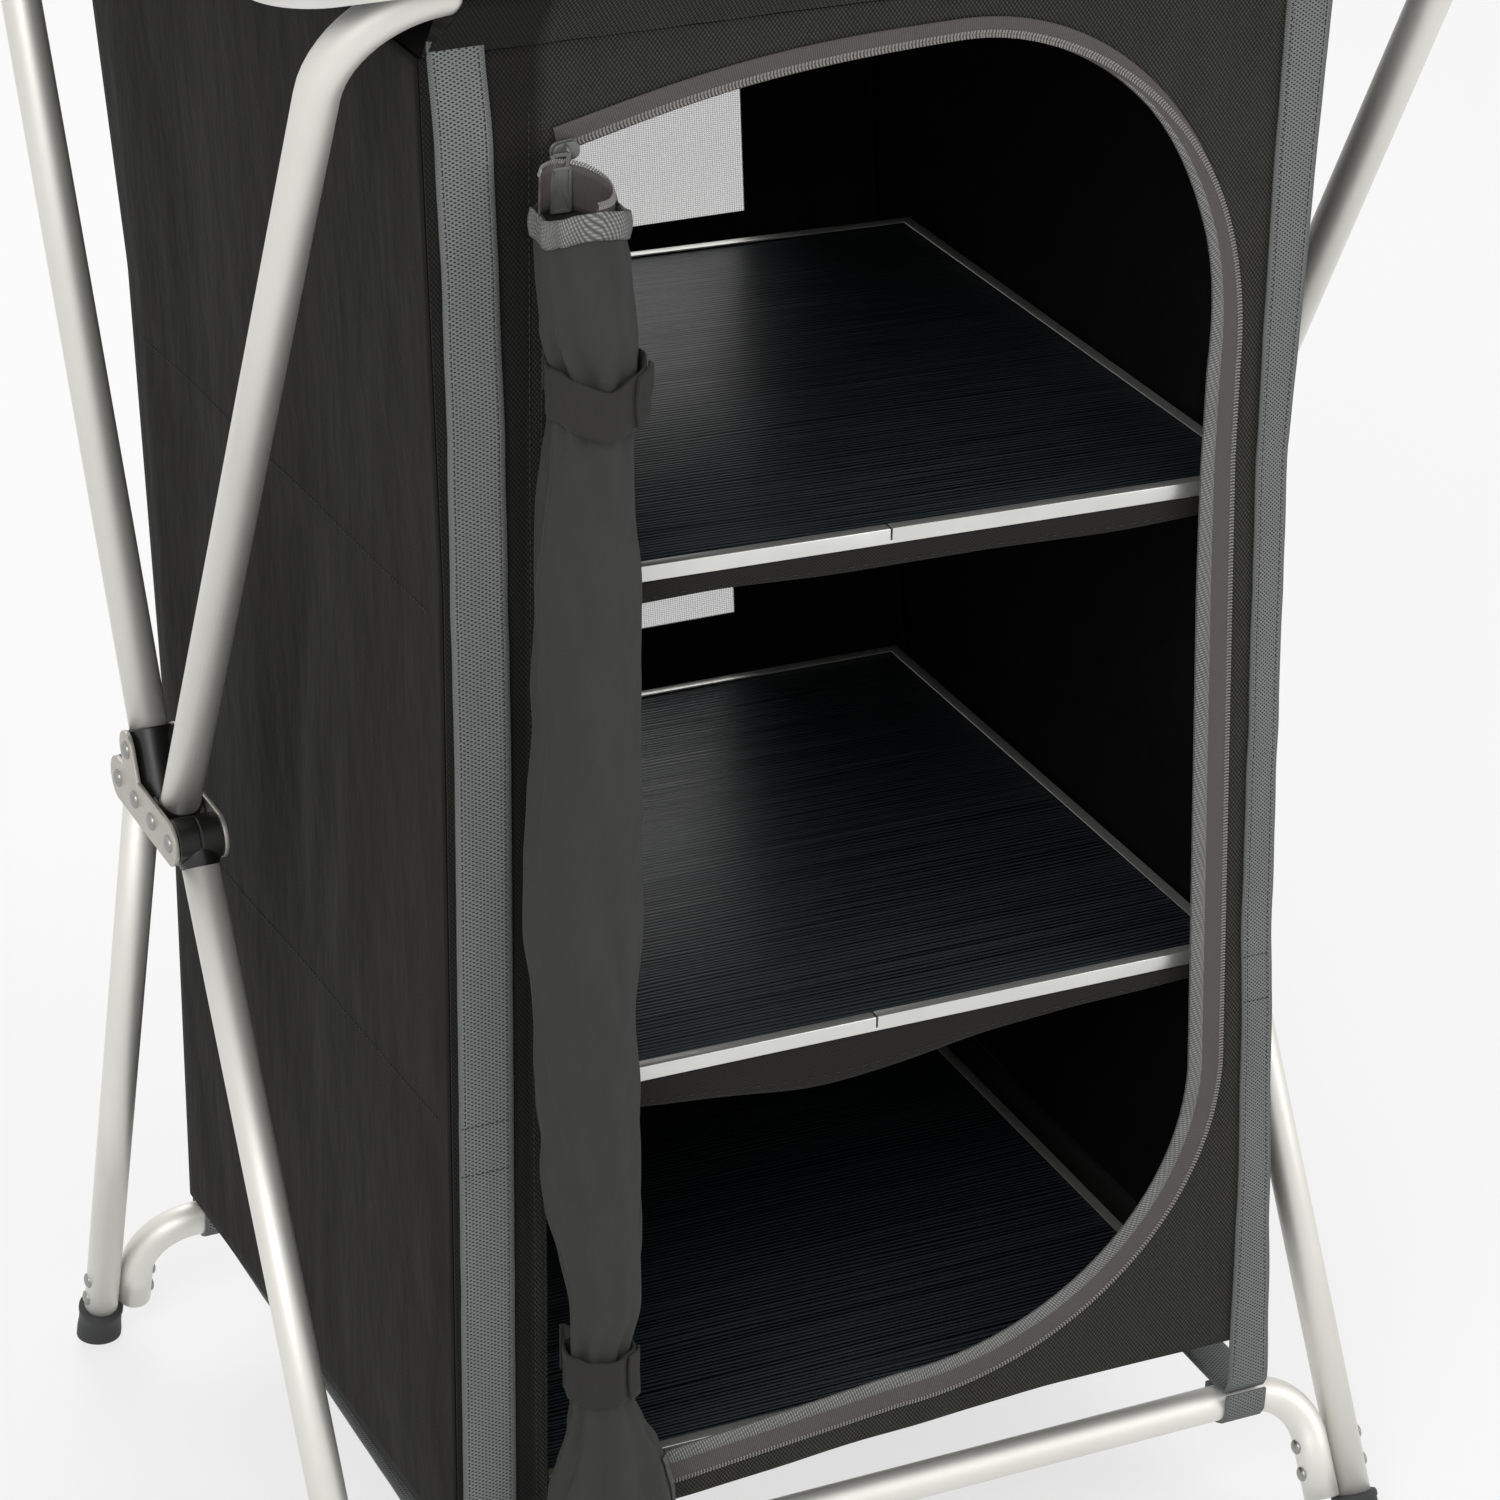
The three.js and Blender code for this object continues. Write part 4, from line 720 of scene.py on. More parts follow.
def bracket(hand, sign):
    """The two pivot plates of one side with the heads of their pins and the liner between them."""
    inner_node = f"bracket_inner_plate_{hand}"
    step_out = Vector((sign * (2 * PLATE_INNER + PLATE_THICKNESS) * MM, 0, 0))
    eased_copy(f"inner_plate_{hand}", inner_node, "rear_upper", PLATE, 0.5)
    eased_copy(f"outer_plate_{hand}", inner_node, "rear_upper", PLATE, 0.5,
               nodes=(f"bracket_outer_plate_{hand}",), move=step_out)
    lobe_pin = leg_place("rear_upper") @ Vector((0, 0, LOBE_REACH * MM))
    pins = [at(0, y, PIVOT_HEIGHT) for y in PIVOT_Y.values()] + [lobe_pin]
    face = PLATE_INNER + PLATE_THICKNESS - 0.1
    heads = []
    for pin in pins:
        outside = pin + Vector((sign * (SIDE_PLANE + face) * MM, 0, 0))
        inside = pin + Vector((sign * (SIDE_PLANE - face) * MM, 0, 0))
        heads += [domed_rivet(*PIN_HEAD, outside, sign), domed_rivet(*PIN_HEAD, inside, -sign)]
    finished(f"bracket_heads_{hand}", merged(heads), "rear_upper", RIVET, sharp=60)
    outer = UPPER_TUBE_RADIUS + GAP + LINER_WALL
    bore = outer - LINER_WALL
    high = LOBE_REACH + LINER_OVER_LOBE
    profile = [(bore, LINER_LOW), (outer - 0.4, LINER_LOW), (outer, LINER_LOW + 0.5), (outer, high - 0.6),
               (outer - 0.5, high), (bore, high), (bore, LINER_LOW)]
    liner = turned(profile, Matrix.Translation((sign * SIDE_PLANE * MM, 0, 0)), 40)
    finished(f"bracket_liner_{hand}", placed(liner, "rear_upper"), "rear_upper", MOULDING,
             (f"bracket_sleeve_{hand}",), sharp=35)


upper_tube("front_upper", "upper_front_frame", TUBE_START)
upper_tube("rear_upper", "upper_rear_frame", LINER_LOW)
for body in ("front_lower", "rear_lower"):
    lower_frame(body)
for hand, (_, sign) in SIDES.items():
    knuckle("front_upper", "upper_front", UPPER_TUBE_RADIUS, hand, sign)
    knuckle("front_lower", "lower_front", LOWER_TUBE_RADIUS, hand, sign)
    knuckle("rear_lower", "lower_rear", LOWER_TUBE_RADIUS, hand, sign)
    bracket(hand, sign)

# Fabric box

BOX_INSET = CLOTH + GAP
# Height above which the front panel's side edges no longer follow its hem
HEM_LIFT_TOP = 165.0
OPENING_MIDDLE = 470.0
OUTLINE_STEPS = 24
RIM_STEPS = 150
PANEL_ROWS = 9
PANEL_STEP = 8.0
SEAM_REACH = 16.0
NET_SEAM = 4.0
WINDOW_HOLD = 12.0
# Height of the seam between each sling and the side panels, at the front and at the rear
SLING_SEAMS = {"upper": (585.0, 570.0), "middle": (335.0, 316.0)}
SLING_SEAM_STEPS = 24
SLEEVE_STEPS = 24
SLEEVE_COLUMNS = 60
SEAM_HALF_WIDTH = 0.9
# X of each seam beside the door, and how far it leans to the left at the top
DOOR_SEAMS = ((-176.0, 5.0), (-171.0, 4.0))
DOOR_SEAM_HEIGHTS = (118.0, 300.0, 600.0, 700.0, 812.0)
# Length, pitch and width of the threads in each kind of seam
SEAMS = {
    "net": (2.6, 3.6, 0.7),
    "sling": (2.6, 3.6, 0.8),
    "door": (2.6, 3.4, 0.7),
    "strap": (2.4, 3.4, 0.5),
    "strap_end": (1.9, 2.4, 0.6),
}


def folding(piece):
    """Gives a piece of cloth its own copy of its mesh; the fold towards the rear panel that it passes along
    is not used.
    """
    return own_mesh(piece, "frame_fold", axis=(0, 1, 0), anchor=at(0, BOX_HALF_DEPTH, 0), keep=0.46)


def hang(y_share, z, seed):
    """Soft creases of a hanging panel that lean a little, with slack between its seams, in mm."""
    drift = y_share + z * 0.0004 + 0.06 * ripple(y_share * 2.5, z * 0.004, seed + 3)
    long_folds = ripple(drift * 5.5, z * 0.0022, seed)
    short_folds = ripple(drift * 15.0, z * 0.006, seed + 7) * (0.4 + ripple(y_share * 3, z * 0.006, seed + 9))
    pulls = ripple(drift * 4.0 - z * 0.008, z * 0.009, seed + 13)
    return 3.0 * long_folds + 1.6 * short_folds + 1.2 * pulls


def edge_hold(u, v, margin=0.06):
    return (soft_step(0, margin, u) * soft_step(0, margin, 1 - u)
            * soft_step(0, margin, v) * soft_step(0, margin, 1 - v))


def stations(breaks, step):
    """Places from break to break, about a step apart."""
    places = []
    for low, high in zip(breaks, breaks[1:]):
        count = max(1, round((high - low) / step))
        places += [lerp(low, high, i / count) for i in range(count)]
    return places + [breaks[-1]]


def side_bottom(sign, u):
    return lerp(table_at(HEM_HEIGHTS, sign * BOX_HALF_WIDTH)[0], BOX_REAR_BOTTOM, u)


def side_place(hand, u, v):
    edge_x, sign = SIDES[hand]
    z = lerp(side_bottom(sign, u), BOX_TOP, v)
    y = lerp(front_y(z) + BOX_INSET, rear_y(z) - BOX_INSET, u)
    pull = max(math.exp(-((z - lerp(*seam, u)) / SEAM_REACH) ** 2) for seam in SLING_SEAMS.values())
    slack = hang(u, z, 3.0 + sign) * edge_hold(u, v) * (1 - 0.65 * pull)
    return at(edge_x(z) + sign * (0.9 * slack + 0.5), y, z)


def side_panel(hand):
    """A side of the box; each panel's second material is on the face that its thickness adds."""
    right = hand == "right"
    own, lining = (SHADED_SIDE_CLOTH, INNER_SHADE_CLOTH) if right else (INNER_SHADE_CLOTH, SHADED_SIDE_CLOTH)
    piece = finished(f"{hand}_cloth", grid(80, 130, lambda u, v: side_place(hand, u, v)), "box", own,
                     (f"{hand}_panel",), sharp=80, lining=lining,
                     modifiers=[thick(CLOTH, -1.0 if right else 1.0, lined=True)], recalculate=False)
    return folding(piece)


def opening_outline():
    """The door opening from its low left corner round to its high left one, in (x, z)."""
    low_width, low_height = LOW_CORNER
    top_width, top_height = TOP_CORNER
    low_x, low_z = OPENING_RIGHT - low_width, OPENING_LOW + OPENING_LOW_RISE + low_height
    top_x, top_z = OPENING_RIGHT - OPENING_TAPER - top_width, OPENING_HIGH - top_height
    turns = [math.pi / 2 * i / OUTLINE_STEPS for i in range(OUTLINE_STEPS + 1)]
    points = [(OPENING_LEFT, OPENING_LOW)]
    points += [(low_x + low_width * math.sin(t), low_z - low_height * math.cos(t)) for t in turns]
    points += [(top_x + top_width * math.cos(t), top_z + top_height * math.sin(t)) for t in turns]
    for i in range(1, OUTLINE_STEPS + 1):
        share = i / OUTLINE_STEPS
        bow = OPENING_BULGE * math.sin(math.pi * share)
        straight = lerp(OPENING_HIGH, OPENING_LEFT_HIGH, share)
        points.append((lerp(top_x, OPENING_LEFT, share), straight + bow))
    return points


def even(points, count):
    """The same run of points at even steps."""
    lengths = [0.0]
    for a, b in zip(points, points[1:]):
        lengths.append(lengths[-1] + math.dist(a, b))
    steps = []
    k = 0
    for i in range(count + 1):
        goal = lengths[-1] * i / count
        while k < len(lengths) - 2 and lengths[k + 1] < goal:
            k += 1
        share = (goal - lengths[k]) / max(lengths[k + 1] - lengths[k], 1e-9)
        steps.append(tuple(lerp(p, q, share) for p, q in zip(points[k], points[k + 1])))
    return steps


def border_point(x, z):
    """Where a ray from the middle of the opening through (x, z) meets the panel's border."""
    dz = z - OPENING_MIDDLE
    end = (BOX_TOP if dz > 0 else BOX_FRONT_BOTTOM) - OPENING_MIDDLE
    reach_x = BOX_HALF_WIDTH / abs(x) if abs(x) > NEAR else math.inf
    reach_z = end / dz if abs(dz) > NEAR else math.inf
    reach = min(reach_x, reach_z)
    bx, bz = x * reach, OPENING_MIDDLE + dz * reach
    edge = right_x(bz) if bx > 0 else -left_x(bz)
    return bx * edge / BOX_HALF_WIDTH, bz


def inward(points):
    """Unit normals of a run of (x, z) points, towards the opening."""
    normals = []
    for i, _ in enumerate(points):
        (ax, az), (bx, bz) = points[max(i - 1, 0)], points[min(i + 1, len(points) - 1)]
        length = math.hypot(bx - ax, bz - az)
        normals.append((-(bz - az) / length, (bx - ax) / length))
    return normals


def tape_width(share):
    return table_at(TAPE_WIDTHS_AT_SHARES, share)[0]


def opening_rim():
    """The hemmed opening as a closed run of (x, z) points, and the hem's width at each."""
    outline = even(opening_outline(), RIM_STEPS)
    rim = []
    hems = []
    for i, ((x, z), (nx, nz)) in enumerate(zip(outline, inward(outline))):
        hem = PANEL_HEM * tape_width(i / RIM_STEPS) / TAPE_WIDTH
        rim.append((max(x + nx * hem, OPENING_LEFT), z + nz * hem))
        hems.append(hem)
    low, high = rim[0][1], rim[-1][1]
    for i in range(1, OUTLINE_STEPS):
        rim.append((OPENING_LEFT, lerp(high, low, i / OUTLINE_STEPS)))
        hems.append(0.0)
    return rim, hems


def panel_border(rim):
    """The front panel's border beside each point of the rim, with its corners and its raised hem."""
    border = [border_point(x, z) for x, z in rim]
    for edge_x in (left_x, right_x):
        for corner_z in (BOX_FRONT_BOTTOM, BOX_TOP):
            spot = (edge_x(corner_z), corner_z)
            nearest = min(range(len(border)), key=lambda k: math.dist(border[k], spot))
            border[nearest] = spot
    raised = []
    for x, z in border:
        lift = table_at(HEM_HEIGHTS, x)[0] - BOX_FRONT_BOTTOM
        raised.append((x, z + lift * (1 - soft_step(BOX_FRONT_BOTTOM, HEM_LIFT_TOP, z))))
    return raised


def front_slack(x, z, hold):
    """Creases of the front panel in mm, kept off the straps; hold fades them at its seams."""
    slack = (1.6 * ripple(x * 0.03, z * 0.006, 21) + 0.8 * ripple(x * 0.07, z * 0.014, 27)) * hold
    slack += 2.0 * ripple((x - 1.2 * z) * 0.035, (x + z) * 0.006, 29) * hold * soft_step(640, 800, z)
    deepest = lerp(-1.6, -0.15, soft_step(140, 165, abs(x)))
    return min(max(slack, deepest), 0.8)


def join_rings(bm, rings):
    """Faces between each ring of corners and the next."""
    count = len(rings[0])
    for first, second in zip(rings, rings[1:]):
        for k in range(count):
            after = (k + 1) % count
            bm.faces.new((first[k], first[after], second[after], second[k]))


def front_panel():
    rim, hems = opening_rim()
    border = panel_border(rim)
    bm = bmesh.new()
    rings = []
    for row in range(PANEL_ROWS + 1):
        share = row / PANEL_ROWS
        ring = []
        for (x, z), (bx, bz), hem in zip(rim, border, hems):
            px, pz = lerp(x, bx, share), lerp(z, bz, share)
            taped = min(hem / math.dist((x, z), (bx, bz)) * 1.1, 0.9)
            hold = math.sin(math.pi * max(0.0, share - taped) / (1 - taped))
            ring.append(bm.verts.new(at(px, front_y(pz) + CLOTH + front_slack(px, pz, hold), pz)))
        rings.append(ring)
    join_rings(bm, rings)
    facing(bm, -1)
    piece = finished("front_cloth_panel", bm, "box", FRONT_CLOTH, ("front_panel",), sharp=80,
                     modifiers=[thick(CLOTH, 1.0)], recalculate=False)
    width = right_x(BOX_FRONT_BOTTOM) - left_x(BOX_TOP)
    width * MM
    folding(piece)


def facing(bm, towards_y):
    """Turns a sheet's faces towards -Y or +Y."""
    bmesh.ops.recalc_face_normals(bm, faces=bm.faces)
    bm.normal_update()
    if sum(face.normal.y for face in bm.faces) * towards_y < 0:
        bmesh.ops.reverse_faces(bm, faces=bm.faces)


def rear_panel():
    window_sides = [centre + side for centre, _, _ in WINDOWS.values()
                    for side in (-WINDOW_HALF_WIDTH, WINDOW_HALF_WIDTH)]
    window_ends = [end for _, low, high in WINDOWS.values() for end in (low, high)]
    xs = stations([-BOX_HALF_WIDTH, *sorted(window_sides), BOX_HALF_WIDTH], PANEL_STEP)
    zs = stations([BOX_REAR_BOTTOM, *sorted(window_ends), BOX_TOP], PANEL_STEP)
    columns, rows = len(xs) - 1, len(zs) - 1
    fixed = max(abs(x) for x in window_sides)

    def place(u, v):
        x, z = xs[round(u * columns)], zs[round(v * rows)]
        if x < -fixed:
            x = lerp(left_x(z), -fixed, (x + BOX_HALF_WIDTH) / (BOX_HALF_WIDTH - fixed))
        elif x > fixed:
            x = lerp(fixed, right_x(z), (x - fixed) / (BOX_HALF_WIDTH - fixed))
        outside = [max(0.0, abs(x - centre) - WINDOW_HALF_WIDTH, low - z, z - high)
                   for centre, low, high in WINDOWS.values()]
        calm = max(math.exp(-(gap / WINDOW_HOLD) ** 2) for gap in outside)
        slack = hang(u, z, 41) * edge_hold(u, v) * (1 - calm)
        return at(x, rear_y(z) + min(slack, 3.0), z)

    bm = grid(columns, rows, place)
    gone = []
    for face in bm.faces:
        middle = face.calc_center_median() / MM
        if any(abs(middle.x - centre) < WINDOW_HALF_WIDTH and low < middle.z < high
               for centre, low, high in WINDOWS.values()):
            gone.append(face)
    bmesh.ops.delete(bm, geom=gone, context="FACES")
    facing(bm, 1)
    piece = finished("rear_cloth_panel", bm, "box", REAR_CLOTH, ("rear_panel",), sharp=80,
                     lining=INNER_SHADE_CLOTH, modifiers=[thick(CLOTH, -1.0, lined=True)], recalculate=False)
    width = right_x(BOX_REAR_BOTTOM) - left_x(BOX_TOP)
    width * MM
    folding(piece)


def level_sheet(name, node, z, left, right, front, rear, sag, seed):
    def place(u, v):
        slack = sag * (0.5 + 0.5 * ripple(u * 5, v * 5, seed)) * edge_hold(u, v, 0.3)
        return at(lerp(left, right, u), lerp(front, rear, v), z - slack)

    piece = finished(name, grid(40, 40, place), "box", LEVEL_CLOTH, (node,), sharp=80,
                     modifiers=[thick(CLOTH, -1.0)], recalculate=False)
    (right - left) * MM
    (rear - front) * MM
    folding(piece)


def net_window(name, centre, low, high):
    def place(u, v):
        z = lerp(low, high, v)
        slack = 1.2 * ripple(u * 4, v * 4, low) * edge_hold(u, v, 0.2)
        return at(centre + lerp(-WINDOW_HALF_WIDTH, WINDOW_HALF_WIDTH, u), rear_y(z) - 0.8 + slack, z)

    piece = finished(f"{name}_net", grid(24, 20, place), "box", NET, (f"{name}_window_net",),
                     sharp=80, recalculate=False)
    folding(piece)

    def corner(side, z):
        return at(centre + side * (WINDOW_HALF_WIDTH + NET_SEAM), rear_y(z) + CLOTH + 0.1, z)

    heights = (low - NET_SEAM, high + NET_SEAM)
    for hand, (_, sign) in SIDES.items():
        stitches(f"{name}_net_upright_stitches_{hand}", [corner(sign, z) for z in heights], "net")
    for level, z in zip(("low", "high"), heights):
        stitches(f"{name}_net_{level}_stitches", [corner(sign, z) for _, sign in SIDES.values()], "net")


def thread(spot, heading, sizes):
    """One raised thread; sizes are its length, width and height in mm."""
    bm = bmesh.new()
    bmesh.ops.create_icosphere(bm, subdivisions=1, radius=0.5 * MM)
    turn = heading.to_track_quat("X", "Z").to_matrix().to_4x4()
    shape = Matrix.Translation(spot) @ turn @ Matrix.Diagonal((*sizes, 1.0))
    bmesh.ops.transform(bm, matrix=shape, verts=bm.verts)
    return bm


def stitches(name, points, seam):
    """A row of short threads along a run of points given in the row frame."""
    length, pitch, width = SEAMS[seam]
    threads = []
    total = 0.0
    for a, b in zip(points, points[1:]):
        span = (b - a).length
        heading = (b - a).normalized()
        along = (pitch * MM - total % (pitch * MM)) % (pitch * MM)
        while along < span:
            threads.append(thread(a + heading * along, heading, (length, width, width * 0.7)))
            along += pitch * MM
        total += span
    return folding(finished(name, merged(threads), "box", THREAD, sharp=80))


def sling_seams(hand):
    """Stitches that hold the two slings to a side panel."""
    sign = SIDES[hand][1]
    for level, seam in SLING_SEAMS.items():
        row = []
        for i in range(1, SLING_SEAM_STEPS):
            u = i / SLING_SEAM_STEPS
            low = side_bottom(sign, u)
            on_cloth = side_place(hand, u, (lerp(*seam, u) - low) / (BOX_TOP - low))
            row.append(on_cloth + Vector((sign * 0.4 * MM, 0, 0)))
        stitches(f"{hand}_{level}_sling_stitches", row, "sling")


def door_seams():
    for index, (seam_x, seam_lean) in enumerate(DOOR_SEAMS):
        seam = [at(seam_x - seam_lean * lean_share(z), front_y(z) - GAP, z) for z in DOOR_SEAM_HEIGHTS]
        stitches(f"door_seam_{index}", seam, "door")


def sleeve_section(bar_y, seam_y, seam_z):
    """The (y, z) outline of cloth that wraps an upper bar, with its two layers meeting at the seam."""
    heading = math.atan2(seam_z - UPPER_BAR_HEIGHT, seam_y - bar_y)
    reach = math.hypot(seam_y - bar_y, seam_z - UPPER_BAR_HEIGHT)
    radius = UPPER_TUBE_RADIUS + CLOTH
    open_angle = math.acos((radius - 0.8) / reach)
    section = []
    for i in range(SLEEVE_STEPS + 1):
        turn = heading + open_angle + (2 * math.pi - 2 * open_angle) * i / SLEEVE_STEPS
        section.append((bar_y + radius * math.cos(turn), UPPER_BAR_HEIGHT + radius * math.sin(turn)))
    start, end = section[0], section[-1]
    across = Vector((-math.sin(heading), math.cos(heading))) * SEAM_HALF_WIDTH
    section += [(lerp(end[0], seam_y - across.x, share), lerp(end[1], seam_z - across.y, share))
                for share in (0.5, 1.0)]
    section.append((seam_y + across.x, seam_z + across.y))
    section.append(((seam_y + across.x + start[0]) / 2, (seam_z + across.y + start[1]) / 2))
    return section


def bar_sleeve(name, node, body, bar_y, seam_y):
    """Cloth folded over an upper bar and sewn above the box."""
    seam_z = BOX_TOP + 0.6
    section = sleeve_section(bar_y, seam_y, seam_z)
    half = SIDE_PLANE - UPPER_BEND
    bm = bmesh.new()
    rings = []
    for i in range(SLEEVE_COLUMNS + 1):
        ring = []
        for k, (y, z) in enumerate(section):
            low = soft_step(UPPER_BAR_HEIGHT - 2, seam_z, z)
            left, right = lerp(-half, left_x(BOX_TOP) + 1.5, low), lerp(half, right_x(BOX_TOP), low)
            x = lerp(left, right, i / SLEEVE_COLUMNS)
            slack = 0.4 * ripple(x * 0.05, k * 0.5, 63) + 0.9 * ripple((x + 2 * z) * 0.045, x * 0.008, 67)
            ring.append(bm.verts.new(at(x, y + slack * 0.6, z + slack * 0.4)))
        rings.append(ring)
    join_rings(bm, rings)
    bm.faces.new(rings[0])
    bm.faces.new(rings[-1])
    return finished(name, bm, body, FRONT_CLOTH, (node,), sharp=60)


for hand in SIDES:
    side_panel(hand)
front_panel()
rear_panel()
floor_low = SHELF_TOPS["floor_shelf"] - SHELF_THICKNESS
level_sheet("bottom_cloth", "bottom_panel", floor_low - GAP, INSIDE_LEFT, right_x(floor_low) - BOX_INSET,
            -BOX_HALF_DEPTH + BOX_INSET, BOX_HALF_DEPTH - BOX_INSET, 2.5, 51)
top_z = BOX_TOP - GAP
level_sheet("top_cloth", "top_panel", top_z, left_x(top_z) + BOX_INSET, INSIDE_RIGHT,
            front_y(top_z) + BOX_INSET, rear_y(top_z) - BOX_INSET, 0.5, 57)
for name, window in WINDOWS.items():
    net_window(name, *window)
bar_sleeve("front_bar_sleeve", "front_sleeve", "front_upper", UPPER_FRONT_BAR_Y, front_y(BOX_TOP) + 0.7)
bar_sleeve("rear_bar_sleeve", "rear_sleeve", "rear_upper", UPPER_REAR_BAR_Y, rear_y(BOX_TOP) - 0.7)
for hand in SIDES:
    sling_seams(hand)
door_seams()

# Webbing

# Height, left edge and right edge of the two corner straps
STRAP_EDGES = {
    "left": [(92, -213.0, -187.0), (526, -212.0, -186.2), (597, -212.8, -187.0), (667, -214.6, -189.2),
             (735, -217.3, -192.7), (801, -221.2, -196.4), (847, -225.2, -201.0)],
    "right": [(92, 198.5, 221.0), (140, 198.0, 218.5), (199, 197.0, 214.8), (285, 193.2, 209.4),
              (368, 188.0, 204.0), (448, 185.4, 200.8), (526, 182.3, 198.0), (601, 179.4, 195.2),
              (676, 176.2, 195.2), (748, 173.6, 194.4), (847, 171.4, 194.4)],
}
STRAP_TOP = 848.5
STRAP_HEIGHTS = (STRAP_TOP, 720.0, FRONT_LEAN_START, 400.0, 200.0)
STRAP_STAND_OFF = GAP + WEBBING_THICKNESS / 2
STRAP_HIGH = LOWER_BAR_HEIGHT + LOWER_TUBE_RADIUS + STRAP_STAND_OFF
STRAP_FRONT = -BOX_HALF_DEPTH - STRAP_STAND_OFF
STRAP_STEP = 6.0
SEAM_INSET = 2.6
CROSS_SEAMS = (338.0, 313.0)
LOOP_STEPS = 16


def strip(name, path, edges, body, nodes):
    """Webbing along a run of (y, z) points; edges lists its left and right X at heights."""
    run = even(path, max(8, int(sum(math.dist(a, b) for a, b in zip(path, path[1:])) / STRAP_STEP)))
    length = sum(math.dist(a, b) for a, b in zip(run, run[1:]))

    def place(u, v):
        y, z = run[round(v * (len(run) - 1))]
        edge = 0.25 * ripple(z * 0.05, y * 0.05, 71 + edges[0][1])
        return at(lerp(*table_at(edges, z), u) + edge, y, z)

    bm = mapped(grid(6, len(run) - 1, place), lambda u, v: (u * WEBBING_WIDTH, v * length))
    return finished(name, bm, body, WEBBING, nodes, sharp=60,
                    modifiers=[thick(WEBBING_THICKNESS, 0.0)], recalculate=False)


def corner_strap(hand, edges):
    path = [(front_y(z) - STRAP_STAND_OFF, z) for z in STRAP_HEIGHTS]
    path += [(STRAP_FRONT, 92), (STRAP_FRONT + 0.6, 86), (STRAP_FRONT + 4, STRAP_HIGH), (0, STRAP_HIGH),
             (LOWER_BAR_Y, STRAP_HIGH)]
    folding(strip(f"{hand}_corner_strap", path, edges, "box", (f"corner_webbing_{hand}",)))
    stand_off = GAP + WEBBING_THICKNESS + 0.1
    heights = stations([96, FRONT_LEAN_START, BOX_TOP], 24)
    for side, column, inset in (("outer", 0, SEAM_INSET), ("inner", 1, -SEAM_INSET)):
        line = [at(table_at(edges, z)[column] + inset, front_y(z) - stand_off, z) for z in heights]
        stitches(f"strap_{side}_seam_{hand}", line, "strap")
    for index, z in enumerate(CROSS_SEAMS):
        first, last = table_at(edges, z)
        row = [at(x, STRAP_FRONT - 1.0, z) for x in (first + 1.0, last - 1.0)]
        stitches(f"strap_stitches_{hand}_{index}", row, "strap_end")


def bar_loops(hand, edges):
    """Loops of the same webbing under the lower bars, which move with them."""
    radius = LOWER_TUBE_RADIUS + STRAP_STAND_OFF
    turns = [math.pi * (1 + i / LOOP_STEPS) for i in range(LOOP_STEPS + 1)]
    for side, bar_y in (("front", -LOWER_BAR_Y), ("rear", LOWER_BAR_Y)):
        loop = [(bar_y - radius, LOWER_BAR_HEIGHT + 9.5)]
        loop += [(bar_y + radius * math.cos(t), LOWER_BAR_HEIGHT + radius * math.sin(t)) for t in turns]
        loop += [(bar_y + radius, LOWER_BAR_HEIGHT + 6.5)]
        strip(f"{side}_bar_loop_{hand}", loop, edges, f"{side}_lower", (f"{side}_webbing_loop_{hand}",))


for hand, edges in STRAP_EDGES.items():
    corner_strap(hand, edges)
    bar_loops(hand, edges)

# Zip

ZIP_STEPS = 300
TEETH_PITCH = 1.6
TEETH_STAND_OFF = 0.95
# The tape turns over along the top right curve, between these shares of its length
TURN_START_SHARE = 0.70
TURN_END_SHARE = 0.82
zip_path = even(opening_outline(), ZIP_STEPS)
zip_normals = inward(zip_path)
zip_length = sum(math.dist(a, b) for a, b in zip(zip_path, zip_path[1:]))


def turned_over(share):
    return soft_step(TURN_START_SHARE, TURN_END_SHARE, share)


def band(name, section, material, nodes=(), thickness=None):
    """A strip round the opening; section(share) lists (inset, stand-off) points across it."""
    columns = len(section(0.0)) - 1

    def place(u, v):
        k = round(v * ZIP_STEPS)
        inset, stand_off = section(k / ZIP_STEPS)[round(u * columns)]
        x, z = zip_path[k]
        nx, nz = zip_normals[k]
        x, z = x + nx * inset, z + nz * inset
        return at(max(x, OPENING_LEFT), front_y(z) - GAP - stand_off, z)

    def spread(u, v):
        insets = [inset for inset, _ in section(v)]
        return lerp(insets[0], insets[-1], u), v * zip_length

    bm = mapped(grid(columns, ZIP_STEPS, place), spread)
    bm.normal_update()
    if sum(face.normal.y for face in bm.faces) > 0:
        bmesh.ops.reverse_faces(bm, faces=bm.faces)
    return folding(finished(name, bm, "box", material, nodes, sharp=70,
                            modifiers=[thick(thickness, 1.0)] if thickness else [], recalculate=False))


def domed(centre, half, height, foot, points=7):
    """The cross-section of a raised cord: (inset, stand-off) points over a half round."""
    turns = [math.pi * i / (points - 1) for i in range(points)]
    return [(centre - half * math.cos(turn), foot + height * math.sin(turn)) for turn in turns]


def coil_inset(share):
    return tape_width(share) * lerp(0.07, 0.8, turned_over(share))


def tape_section(share):
    places = [i / 6 for i in range(7)]
    return [(tape_width(share) * lerp(0.01, 0.99, u), 0.25 + 0.2 * math.sin(math.pi * u)) for u in places]


def binding_section(share):
    flat = turned_over(share)
    half = tape_width(share) * lerp(0.21, 0.04, flat)
    return domed(tape_width(share) * 0.995 - half, half, lerp(1.35, 0.3, flat), 0.35)


def ridge_section(share):
    flat = turned_over(share)
    width = tape_width(share)
    return domed(width * lerp(0.475, 0.3, flat), width * 0.09, lerp(0.4, 0.2, flat), 0.35)


def groove_section(share):
    return domed(tape_width(share) * lerp(0.355, 0.52, turned_over(share)), 0.4, 0.3, 0.4)


def coil_bed_section(share):
    return domed(coil_inset(share), lerp(1.3, 1.9, turned_over(share)), 0.35, 0.4)


